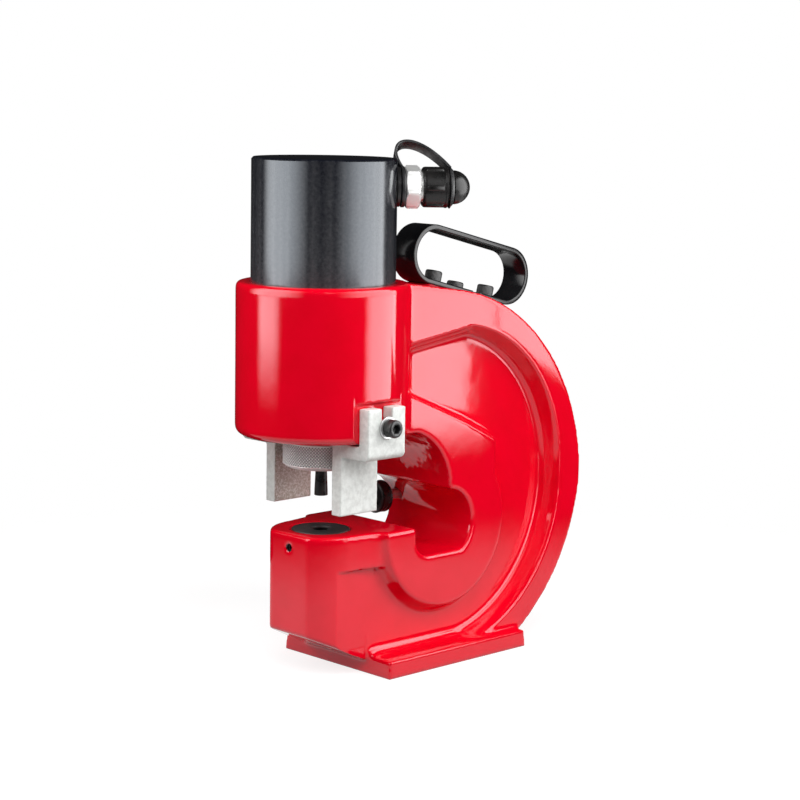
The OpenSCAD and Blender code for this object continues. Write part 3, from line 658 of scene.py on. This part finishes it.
def frame_trim(p):
    """Restores the bores, the jaw's flat sides under its head, and the strippers' seats."""
    room, head_h, foot_top, web_front, foot_front = 0.3, 26, 30, -66, -74.5
    upright = (0.0, PUNCH_Y)
    true_bore(p, upright, 2, BARREL_R + room, bottom("cylinder_barrel"), top("c_frame") + 1)
    true_bore(p, upright, 2, DIE_R + room, bottom("die"), JAW_TOP + 1)
    true_bore(p, upright, 2, half_width("rod_wiper") + 0.05, COLLAR_Z - 1, COLLAR_Z + 6)
    true_bore(p, (0.0, SET_SCREW_Z), 1, SET_SCREW_R, HOLE_FRONT, HOLE_BACK)
    x, y, z = p.T
    under_head = (z < JAW_TOP - head_h) & (y < np.where(z > foot_top, web_front, foot_front))
    p[under_head, 0] = np.clip(p[under_head, 0], -WEB_HALF, WEB_HALF)
    band, seat_half, sunk = 0.6, 24, 0.02
    for side in (-1, 1):
        seat = (np.abs(x - side * SEAT_X) < band) & (np.abs(y - PUNCH_Y) < seat_half)
        p[seat & (z > SEAT_LOW) & (z < SEAT_HIGH), 0] = side * (SEAT_X - sunk)
    return np.clip(p, *node_box("c_frame"))


def stripper_ease(p):
    return np.ones(len(p)), np.full(len(p), 0.6)


def stripper_lumps(p):
    return np.full(len(p), 0.10), np.full(len(p), 2.6)


def make_castings():
    voxel, rounds = ((1.25, 22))
    casting = cast_skin(("c_frame", "jaw_nose"), "frame_casting", voxel, rounds, frame_ease,
                        frame_lumps, frame_trim, RED, "frame")
    rim = 0.8
    # Painted shade inside the set-screw hole.
    mark_painted_shade(casting, (0.0, 0.0, SET_SCREW_Z), 1, SET_SCREW_R + rim, rim,
              HOLE_FRONT - 3, HOLE_BACK)
    stripper_voxel, stripper_rounds = 0.7, 4
    for side in ("right", "left"):
        source = f"stripper_{side}"
        low, high = node_box(source)
        cast_skin((source,), f"{source}_casting", stripper_voxel, stripper_rounds, stripper_ease,
                  stripper_lumps, lambda p: np.clip(p, low, high), CAST_SILVER,
                  f"{side}_stripper")


# Ram end, punch and die
def make_punch_nut():
    low, high = bottom("punch_nut"), top("punch_nut")
    r = half_width("punch_nut")
    hole_r, seat_r, thread_r, groove = 6.3, 12.1, 20.1, 0.8
    seat, shelf = low + 4, low + 12
    rings = [(hole_r, low), (r - 3, low), (r - 2.4, low + 0.25), (r - 0.5, low + 2.0)]
    rings += diamond_knurl(r, groove, 2.3, low + 2.2, high - low - 3.6)
    rings += [(r - 0.5, high - 1.2), (r - 1.6, high), (thread_r, high), (thread_r, shelf),
              (seat_r, shelf), (seat_r, seat), (hole_r, seat)]
    nut = add_piece("punch_nut_knurled", turned(rings, PUNCH, UP, 560, closed=True), KNURLED,
                    "ram", ("punch_nut",), 40)
    # Painted shade in the knurl's grooves.
    mark_painted_shade(nut, PUNCH, 2, r, groove, low + 2.2, high - 1.4)


def make_punch():
    tip, high = bottom("punch"), top("punch")
    tip_r, waist_r, head_r = 4.95, 4.0, 12
    head = tip + 26
    rings = [(0, tip + 0.5), (3.0, tip + 0.35), (4.8, tip), (tip_r, tip + 0.2), (4.9, tip + 3),
             (waist_r, head - 2), (4.2, head), (11.5, head), (head_r, head + 0.5),
             (head_r, high - 0.5), (11.5, high), (0, high)]
    add_piece("punch_turned", turned(rings, PUNCH, UP, 72), BLACK_OXIDE, "ram",
              ("punch",))


def make_die():
    low, high = bottom("die"), top("die")
    hole_r, relief_r, dish_r = 5.6, 6.75, 7.3
    rings = [(relief_r, low), (DIE_R - 0.8, low), (DIE_R, low + 0.8), (DIE_R, high - 0.5),
             (DIE_R - 0.5, high), (dish_r + 0.3, high), (dish_r, high - 0.35), (6.1, high - 0.35),
             (hole_r, high - 0.75), (hole_r, low + 15), (relief_r, low + 14)]
    die = add_piece("die_ground", turned(rings, PUNCH, UP, 120, closed=True), DIE_STEEL, "frame",
                    ("die",))
    # Painted shade in the die's bore and dish.
    mark_painted_shade(die, PUNCH, 2, 7.0, 1.2, low, high - 0.6)


# Screws
def socket_screw(head_h, shank_l, deep):
    """A socket screw along +Z, with its head's seat at 0: knurled head, eased top and a hexagon
    socket."""
    head_r, shank_r, key = SCREW_HEAD_R, SCREW_SHANK_R, SCREW_KEY
    knurl = straight_knurl(head_r, 0.22, 40)
    rings = [(0, -shank_l), (shank_r - 0.8, -shank_l), (shank_r, -shank_l + 0.8), (shank_r, -0.01),
             (head_r - 0.4, 0), (head_r - 0.12, 0.25), (knurl, 0.6), (knurl, head_h - 1.3),
             (head_r - 0.2, head_h - 0.9), (head_r - 0.45, head_h - 0.35), (head_r - 1.0, head_h),
             (key * 0.66, head_h), (hexagon(key + 0.3), head_h - 0.35),
             (hexagon(key), head_h - 0.7), (hexagon(key), head_h - deep),
             (key * 0.25, head_h - deep - 0.8), (0, head_h - deep - 1.0)]
    return turned(rings, (0, 0, 0), UP, 160)


def make_stripper_bolts():
    outer = node_box("stripper_bolts")[1][0]
    seat = node_box("stripper_washers")[1][0]
    hole_r, rim_r, thick = 4.1, 8.0, 1.6
    washer_rings = [(hole_r, 0), (rim_r - 0.3, 0), (rim_r, 0.3), (rim_r, 1.2), (rim_r - 0.4, thick),
                    (hole_r + 0.4, thick), (hole_r, thick - 0.3)]
    screwed_in, key_deep = 10.8, 4.6
    bolts, washers = [], []
    for side in (-1, 1):
        screw = socket_screw(outer - seat, seat - SEAT_X + screwed_in, key_deep)
        bolts.append(moved(screw, turn_to((side, 0, 0)), (side * seat, PUNCH_Y, BOLT_Z)))
        washer = turned(washer_rings, (0, 0, 0), UP, 72, closed=True)
        washers.append(moved(washer, turn_to((side, 0, 0)),
                             (side * (seat - thick), PUNCH_Y, BOLT_Z)))
    add_piece("stripper_socket_bolts", join(*bolts), BLACK_OXIDE, "frame",
              ("stripper_bolts",))
    add_piece("stripper_plain_washers", join(*washers), STEEL, "frame",
              ("stripper_washers",))


# Handle
def make_handle():
    """The handle's flat bar, bent into a loop whose ends part under the grip, and its screws."""
    length, height, thick, width = 84.5, 45.0, 4.0, 24.0
    gap_at, gap = 10.0, 8.0
    straight_end = length / 2 - 3
    r = (height - thick) / 2
    tilt = np.array(Matrix.Rotation(-HANDLE_TILT, 3, "X"))
    path = []

    def straight(start, stop, out, count):
        for y in np.linspace(start, stop, count):
            path.append(((0, y, out * r), (0, 0, out), (1, 0, 0)))

    def bend(end, start, stop):
        for a in np.radians(np.linspace(start, stop, 33)):
            c, s = math.cos(a), math.sin(a)
            path.append(((0, end * length / 2 + r * c, r * s), (0, c, s), (1, 0, 0)))
    straight(gap_at + gap / 2, straight_end, -1, 5)
    bend(1, -90, 90)
    straight(straight_end, -straight_end, 1, 12)
    bend(-1, 90, 270)
    straight(-straight_end, gap_at - gap / 2, -1, 9)
    bar = swept(path, strip_section(width, thick, 1.1))
    add_piece("handle_bent_bar", moved(bar, tilt, HANDLE), BLACK_PAINT, "frame",
              ("handle",), 50)
    shank_l, screws = 14.8, []
    for at, head_h in ((-28, 8.0), (-3, 4.4), (31, 8.0)):
        seat = tilt @ np.array([0, at, thick - height / 2]) + HANDLE
        screws.append(moved(socket_screw(head_h, shank_l, head_h * 0.6), tilt, seat))
    add_piece("handle_socket_screws", join(*screws), BLACK_OXIDE, "frame",
              ("handle_screws",))


# Oil coupler and dust cap
def make_coupler():
    start, thread_r, flange_r = ADAPTER_AT, 8.5, 14.5
    rings = [(DUCT_R, start - 11.5), (thread_r - 0.2, start - 11.5), (thread_r, start - 11),
             (thread_r, start), (13.9, start), (flange_r, start + 0.5), (flange_r, start + 2.4),
             (14.0, start + 2.9), (NECK_R, start + 3.0), (NECK_R, HEX_AT), (DUCT_R, HEX_AT)]
    add_piece("port_adapter_turned", turned(rings, PORT, OUT, closed=True), BLACK_OXIDE, "frame",
              ("port_adapter",))
    flats, turn, nose, end = 28.0, math.radians(14), HEX_AT + 11, HEX_AT + 27.5
    nose_r, groove_r, mouth_r, chamber_r, corner_r = 11, 9.9, 4.55, 6.5, 17

    def hex_ring(limit):
        return hexagon(flats, turn, limit)
    rings = [(DUCT_R, HEX_AT), (13.2, HEX_AT), (hex_ring(13.9), HEX_AT + 0.15),
             (hex_ring(15.0), HEX_AT + 0.7), (hex_ring(corner_r), HEX_AT + 1.3),
             (hex_ring(corner_r), nose - 2.0), (hex_ring(15.2), nose - 1.3),
             (hex_ring(14.2), nose - 0.6), (13.4, nose - 0.1), (13.2, nose), (nose_r, nose),
             (nose_r, nose + 5), (groove_r, nose + 6), (groove_r, nose + 9), (nose_r, nose + 10),
             (nose_r, end - 1.4), (9.8, end), (4.7, end), (mouth_r, end - 0.2), (mouth_r, end - 4),
             (chamber_r, end - 4), (chamber_r, HEX_AT + 4), (DUCT_R, HEX_AT + 4)]
    add_piece("coupler_hexagon", turned(rings, PORT, OUT, 240, closed=True), NICKEL, "frame",
              ("coupler_body",), 25)


def make_spot_face_rim():
    """The bare edge that the spot face's cutter leaves on the barrel, round the adapter, by
    (radius, depth under the barrel's skin)."""
    section = ((16.45, 0.75), (16.9, 0.05), (17.5, -0.03), (16.9, 0.5))
    steps, n = 120, len(section)
    side, up, _ = axis_frame(OUT)
    verts, faces = [], []
    for k in range(steps):
        a = TURN * k / steps
        for r, sink in section:
            x, z = r * math.cos(a), r * math.sin(a)
            skin = math.sqrt(BARREL_R ** 2 - x * x)
            verts.append(PORT + side * x + up * z + OUT * (skin - sink))
    for k in range(steps):
        p, q = n * k, n * ((k + 1) % steps)
        faces.extend((p + i, p + (i + 1) % n, q + (i + 1) % n, q + i) for i in range(n))
    add_piece("spot_face_bare_rim", (verts, faces), STEEL, "frame")


def make_dust_cap():
    start, length, r, ribs = CAP_AT, 18.0, 15.0, 6
    bore_r, dome_r, rib_h, bore_end = 11.1, 12.25, 1.15, start + 15.3

    def ribbed(height):
        def radius(angles):
            d = np.abs((angles + math.pi / ribs) % (TURN / ribs) - math.pi / ribs) * r
            return r - 0.35 + height * np.clip((1.75 - d) / 0.55, 0, 1)
        return radius
    rib, rib_end, end = start + 2.8, start + 14.6, start + length
    rings = [(0, bore_end), (bore_r - 0.2, bore_end), (bore_r, start + 15.1), (bore_r, start + 0.4),
             (bore_r + 0.4, start), (13.4, start), (14.4, start + 1.0), (14.6, start + 1.7),
             (ribbed(0.0), rib - 0.4), (ribbed(0.7), rib), (ribbed(rib_h), rib + 0.6),
             (ribbed(rib_h), rib_end - 0.6), (ribbed(0.7), rib_end), (ribbed(0.0), rib_end + 0.4),
             (14.7, end - 1.8), (r, end - 1.5), (r, end - 0.3), (14.7, end), (14.0, end + 1),
             (GROOVE_R, end + 1), (GROOVE_R, end + 4.4), (11.4, end + 4.6), (12.0, end + 4.75),
             (dome_r, end + 5.1)]
    rings += [(dome_r * math.cos(a), DOME_AT + dome_r * math.sin(a))
              for a in np.linspace(0.08, math.pi / 2, 14)[:-1]]
    rings.append((0, DOME_AT + dome_r))
    add_piece("dust_cap_moulded", turned(rings, PORT, OUT, 288), BLACK_PLASTIC, "cap",
              ("dust_cap",), 40)


def make_strap():
    """The cap's strap: a flat band on a leaning loop, with a ring at each end."""
    thick, width, wall, rise = 2.0, 11.5, 4.2, 45.5
    lean = math.radians(31)
    side, up, _ = axis_frame(OUT)
    rise_dir = math.cos(lean) * up + math.sin(lean) * side
    across_dir = math.cos(lean) * side - math.sin(lean) * up
    guide = np.array([(NECK_AT + 1.75, NECK_R + wall - thick / 2), (NECK_AT - 12, 0.85 * rise),
                      (HEX_AT + 9, rise), (GROOVE_AT + 1.8, GROOVE_R + wall - thick / 2)])

    def at(t):
        return ((1 - t) ** 3 * guide[0] + 3 * (1 - t) ** 2 * t * guide[1]
                + 3 * (1 - t) * t * t * guide[2] + t ** 3 * guide[3])
    path = []
    for t in np.linspace(0, 1, 49):
        run = at(t + 0.005) - at(t - 0.005)
        run /= np.linalg.norm(run)
        along, out = at(t)
        path.append((PORT + OUT * along + rise_dir * out, rise_dir * run[0] - OUT * run[1],
                     across_dir))
    shapes = [swept(path, strip_section(width, thick, 0.7))]
    neck, neck_hole, neck_rim = NECK_AT + 0.4, NECK_R + 0.1, 14.8
    ring = eased([(neck_hole, neck + 1.3), (neck_hole, neck), (neck_rim, neck),
                  (neck_rim, neck + 2.7), (neck_hole, neck + 2.7), (neck_hole, neck + 1.3)], 0.6)
    shapes.append(turned(ring[:-1], PORT, OUT, closed=True))
    groove, groove_hole, groove_rim = GROOVE_AT + 0.4, GROOVE_R + 0.1, 15.3
    ring = [(groove_hole, groove + 1.4), (groove_hole, groove), (14.9, groove),
            (groove_rim, groove + 0.3), (groove_rim, groove + 0.8), (14.7, groove + 1.1),
            (13.6, groove + 1.9), (12.8, groove + 2.8), (groove_hole, groove + 2.8)]
    shapes.append(turned(ring, PORT, OUT, closed=True))
    strap = add_piece("dust_cap_strap_band", join(*shapes), RUBBER, None,
                      ("dust_cap_strap",), 45)
    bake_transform(strap)


# Edge stop
def make_edge_stop():
    x, _, z = centre("edge_stop_knob")
    front, back = (corner[1] for corner in node_box("edge_stop_knob"))
    r = half_width("edge_stop_knob")
    hole_r, hole_end = 4.05, front + 3.4
    rings = [(0, front + 0.6), (r - 4.6, front + 0.6), (r - 4.0, front), (r - 1.3, front),
             (r - 0.5, front + 0.5)]
    rings += diamond_knurl(r, 0.5, 1.7, front + 0.9, back - front - 1.8, 0.4)
    rings += [(r - 0.5, back - 0.5), (r - 1.3, back), (4.3, back), (hole_r, back - 0.3),
              (hole_r, hole_end), (0, hole_end)]
    add_piece("edge_stop_knurled_knob", turned(rings, (x, 0, z), (0, 1, 0), 280), BLACK_PLASTIC,
              "edge_stop", ("edge_stop_knob",), 40)


# Springs
def wound_wire(low, high, radius, wire, turns):
    """A compression spring along +Z."""
    steps, sides = 28, 10
    path = []
    count = turns * steps
    for k in range(count + 1):
        a = TURN * k / steps
        c, s = math.cos(a), math.sin(a)
        rise = low + wire / 2 + (high - low - wire) * k / count
        path.append(((radius * c, radius * s, rise), (c, s, 0), UP))
    section = [(wire / 2 * math.cos(a), wire / 2 * math.sin(a))
               for a in np.arange(sides) * TURN / sides]
    return swept(path, section)


def make_springs():
    low, high = (corner[2] for corner in node_box("return_spring"))
    wire, turns, pressed = 7.0, 8, 27.2
    coil = wound_wire(low, high, half_width("return_spring") - wire / 2, wire, turns)
    spring = add_piece("return_spring_wire", moved(coil, np.eye(3), PUNCH), STEEL, "frame",
                       ("return_spring",), 0)
    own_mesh(spring)
    low, high = HEX_AT + 4.1, HEX_AT + 20.4
    radius, wire, turns, pressed = 5.3, 1.2, 7, 4.1
    coil = wound_wire(low, high, radius, wire, turns)
    spring = add_piece("coupler_spring_wire", moved(coil, turn_to(OUT), PORT), STEEL, "frame",
                       ("coupler_spring",), 0)
    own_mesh(spring)


# CAD nodes whose shape is right as it is, with their finishes
def finish_nodes():
    finishes = {
        "cylinder_barrel": GUNMETAL, "gland_bush": BRONZE, "rod_wiper": RUBBER, "piston": STEEL,
        "piston_seal": RUBBER, "piston_guide_ring": BRONZE, "piston_nut": STEEL, "ram_rod": CHROME,
        "die_set_screw": BLACK_OXIDE, "port_seal": RUBBER, "coupler_poppet": STEEL,
        "edge_stop_stud": STEEL,
    }
    for name, material in finishes.items():
        data = NODES[name].data
        data.materials.clear()
        data.materials.append(material)
        data.polygons.foreach_set("use_smooth", np.ones(len(data.polygons), bool))
        data.set_sharp_from_angle(angle=math.radians(30))


# Studio, in metres
DARK = 0.012
FLAG_X = -0.11


def glowing(name, strength):
    """A material that glows with an even strength, or with one that strength(tree) works out over
    its surface."""
    material = bpy.data.materials.new(name)
    material.use_nodes = True
    tree = material.node_tree
    tree.nodes.clear()
    glow = node(tree, "ShaderNodeEmission")
    fill(tree, glow.inputs["Strength"], strength(tree) if callable(strength) else strength)
    tree.links.new(glow.outputs[0], node(tree, "ShaderNodeOutputMaterial").inputs["Surface"])
    return material


def add_screen(name, verts, faces, strength, shades=False):
    """A part of the studio that the camera doesn't see. It shows in the object's gloss, or it only
    shades the object from the lamps."""
    mesh = bpy.data.meshes.new(name)
    mesh.from_pydata(verts, [], faces)
    mesh.materials.append(glowing(name.replace("_", " "), strength))
    made = bpy.data.objects.new(name, mesh)
    bpy.context.scene.collection.objects.link(made)
    made.visible_camera = False
    made.visible_diffuse = False
    made.visible_transmission = False
    made.visible_glossy = not shades
    made.visible_shadow = shades
    return made


def background_ray(tree):
    """1 for the rays that show the background: from the camera, and in gloss and glass."""
    path = node(tree, "ShaderNodeLightPath")
    seen = math_node(tree, "MAXIMUM", path.outputs["Is Camera Ray"], path.outputs["Is Glossy Ray"])
    return math_node(tree, "MAXIMUM", seen, path.outputs["Is Transmission Ray"])


def add_floor():
    """A pale floor that fades out into the white background a little way from the object."""
    size, fade_from, fade_to, glow = 2.0, 0.30, 0.60, 0.80
    corners = [(-size, -size, 0), (size, -size, 0), (size, size, 0), (-size, size, 0)]
    mesh = bpy.data.meshes.new("studio_floor")
    mesh.from_pydata(corners, [], [(0, 1, 2, 3)])
    floor = bpy.data.objects.new("studio_floor", mesh)
    bpy.context.scene.collection.objects.link(floor)
    material = bpy.data.materials.new("pale floor")
    material.use_nodes = True
    tree = material.node_tree
    shader = tree.nodes["Principled BSDF"]
    shader.inputs["Base Color"].default_value = (0.30, 0.30, 0.30, 1)
    shader.inputs["Roughness"].default_value = 1.0
    shader.inputs["Specular IOR Level"].default_value = 0.0
    shader.inputs["Emission Color"].default_value = (1, 1, 1, 1)
    tree.links.new(math_node(tree, "MULTIPLY", background_ray(tree), glow),
                   shader.inputs["Emission Strength"])
    away = node(tree, "ShaderNodeVectorMath", operation="LENGTH")
    tree.links.new(object_coord(tree), away.inputs[0])
    tree.links.new(range_node(tree, away.outputs["Value"], fade_from, fade_to, 1.0, 0.0),
                   shader.inputs["Alpha"])
    mesh.materials.append(material)
    floor.location.z = -0.0002


def add_panel(name, start, stop, low, high, radiance, fades):
    """An upright panel between two places on the floor, with the height of its foot at both.
    Its start, its stop and its foot fade out over the given lengths."""
    run = Vector((stop[0] - start[0], stop[1] - start[1], 0.0))
    width, height, rise = run.length, high - low[0], low[1] - low[0]

    def strength(tree):
        apart = node(tree, "ShaderNodeSeparateXYZ")
        tree.links.new(object_coord(tree), apart.inputs[0])
        across, up = apart.outputs["X"], apart.outputs["Y"]
        over_foot = math_node(tree, "MULTIPLY_ADD", across, -rise / width, up)
        edges = ((across, 0.0, fades[0]), (across, width, width - fades[1]),
                 (over_foot, 0.0, fades[2]))
        glow = radiance
        for distance, none, full in edges:
            glow = math_node(tree, "MULTIPLY", range_node(tree, distance, none, full), glow)
        return glow
    corners = [(0, 0, 0), (width, rise, 0), (width, height, 0), (0, height, 0)]
    panel = add_screen(name, corners, [(0, 1, 2, 3)], strength)
    across, up = run.normalized(), Vector(UP)
    turn = Matrix((across, up, across.cross(up))).transposed().to_4x4()
    panel.matrix_world = Matrix.Translation((*start, low[0])) @ turn


def add_lamp(name, at, target, width, height, radiance, in_gloss=False):
    """A flat lamp. It either shows in gloss or lights what is matt, so that each can have its own
    size."""
    light = bpy.data.lights.new(name, "AREA")
    light.shape = "RECTANGLE"
    light.size = width
    light.size_y = height
    light.energy = radiance * math.pi * width * height
    obj = bpy.data.objects.new(name, light)
    bpy.context.scene.collection.objects.link(obj)
    obj.location = at
    obj.rotation_euler = (Vector(target) - Vector(at)).to_track_quat("-Z", "Y").to_euler()
    obj.visible_camera = False
    obj.visible_diffuse = not in_gloss
    obj.visible_glossy = in_gloss


def add_dark_walls():
    """The dark walls and ceiling of the studio."""
    radius, low, high, steps = 2.4, -1.2, 2.4, 48
    verts, faces = [], []
    for i in range(steps):
        a = i * TURN / steps
        verts += [(radius * math.cos(a), radius * math.sin(a), z) for z in (low, high)]
        p, q = 2 * i, 2 * ((i + 1) % steps)
        faces.append((p, q, q + 1, p + 1))
    faces.append(tuple(2 * i + 1 for i in range(steps)))
    add_screen("dark_walls", verts, faces, DARK)


def add_flag(name, front, back, low, high, shades):
    """A black flag on the left of the throat."""
    corners = ((front, low), (back, low), (back, high), (front, high))
    add_screen(name, [(FLAG_X, y, z) for y, z in corners], [(0, 1, 2, 3)], DARK, shades)


def set_world():
    world = bpy.data.worlds.new("studio")
    bpy.context.scene.world = world
    world.use_nodes = True
    tree = world.node_tree
    tree.nodes.clear()
    shader = node(tree, "ShaderNodeBackground", Color=(1, 1, 1, 1))
    lit, seen = 0.25, 1.0
    tree.links.new(range_node(tree, background_ray(tree), 0.0, 1.0, lit, seen),
                   shader.inputs["Strength"])
    tree.links.new(shader.outputs[0], node(tree, "ShaderNodeOutputWorld").inputs["Surface"])


def add_camera():
    """The photograph's view: 94 mm on a 36 mm sensor, rolled by just under one degree."""
    at = (1.11954, -1.10088, 0.42682)
    forward = Vector((-0.70861, 0.69003, -0.14746)).normalized()
    roll = math.radians(0.94)
    level = forward.cross(Vector(UP)).normalized()
    upright = level.cross(forward)
    right = level * math.cos(roll) + upright * math.sin(roll)
    up = upright * math.cos(roll) - level * math.sin(roll)
    data = bpy.data.cameras.new("photo_camera")
    data.sensor_width = 36
    data.sensor_fit = "HORIZONTAL"
    data.lens = 94.16
    camera = bpy.data.objects.new("photo_camera", data)
    turn = Matrix((right, up, -forward)).transposed().to_4x4()
    camera.matrix_world = Matrix.Translation(at) @ turn
    bpy.context.scene.collection.objects.link(camera)
    bpy.context.scene.camera = camera


# Panels that show in the gloss: start, stop, feet, top, radiance, and fades of start, stop and foot
PANELS = (
    ("right_panel", (0.500, -0.013), (0.257, 0.2625), (0.03, 0.10), 0.262, 6.8,
     (0.12, 0.004, 0.045)),
    ("right_back_panel", (0.257, 0.2625), (0.204, 0.3225), (0.205, 0.155), 0.262, 6.8,
     (0.001, 0.03, 0.006)),
    ("right_upper_panel", (0.449, -0.309), (0.2153, 0.3613), (0.262, 0.262), 0.75, 6.2,
     (0.42, 0.07, 0.003)),
    ("left_panel", (-0.350, -0.450), (-0.022, -0.590), (0.13, 0.13), 0.255, 7.0,
     (0.11, 0.13, 0.09)),
    ("left_upper_panel", (-0.4263, -0.3512), (0.2309, -0.5335), (0.255, 0.255), 0.75, 6.2,
     (0.22, 0.33, 0.003)),
)

make_castings()
make_punch_nut()
make_punch()
make_die()
make_stripper_bolts()
make_handle()
make_coupler()
make_spot_face_rim()
make_dust_cap()
make_strap()
make_edge_stop()
make_springs()
finish_nodes()
set_world()
add_floor()
add_dark_walls()
# The first flag keeps the left panels' glare out of the throat, the second the left lamp's light
add_flag("dark_flag", -0.19, -0.03, 0.06, 0.24, shades=False)
add_flag("throat_shade", -0.20, -0.05, 0.12, 0.32, shades=True)
for panel in PANELS:
    add_panel(*panel)
add_lamp("front_panel", (0.94, -0.57, 0.95), (0.05, -0.05, 0.35), 0.50, 0.40, 1.2, in_gloss=True)
add_lamp("right_lamp", (0.86, 0.46, 0.75), (0.0, 0.0, 0.30), 0.55, 0.9, 6.6)
add_lamp("left_lamp", (-0.60, -0.80, 0.75), (0.0, -0.05, 0.30), 0.50, 0.9, 5.4)
add_lamp("front_lamp", (0.75, -0.75, 1.1), (0.0, -0.05, 0.2), 0.9, 0.9, 5.0)
add_camera()
bpy.context.scene.view_settings.view_transform = "Standard"
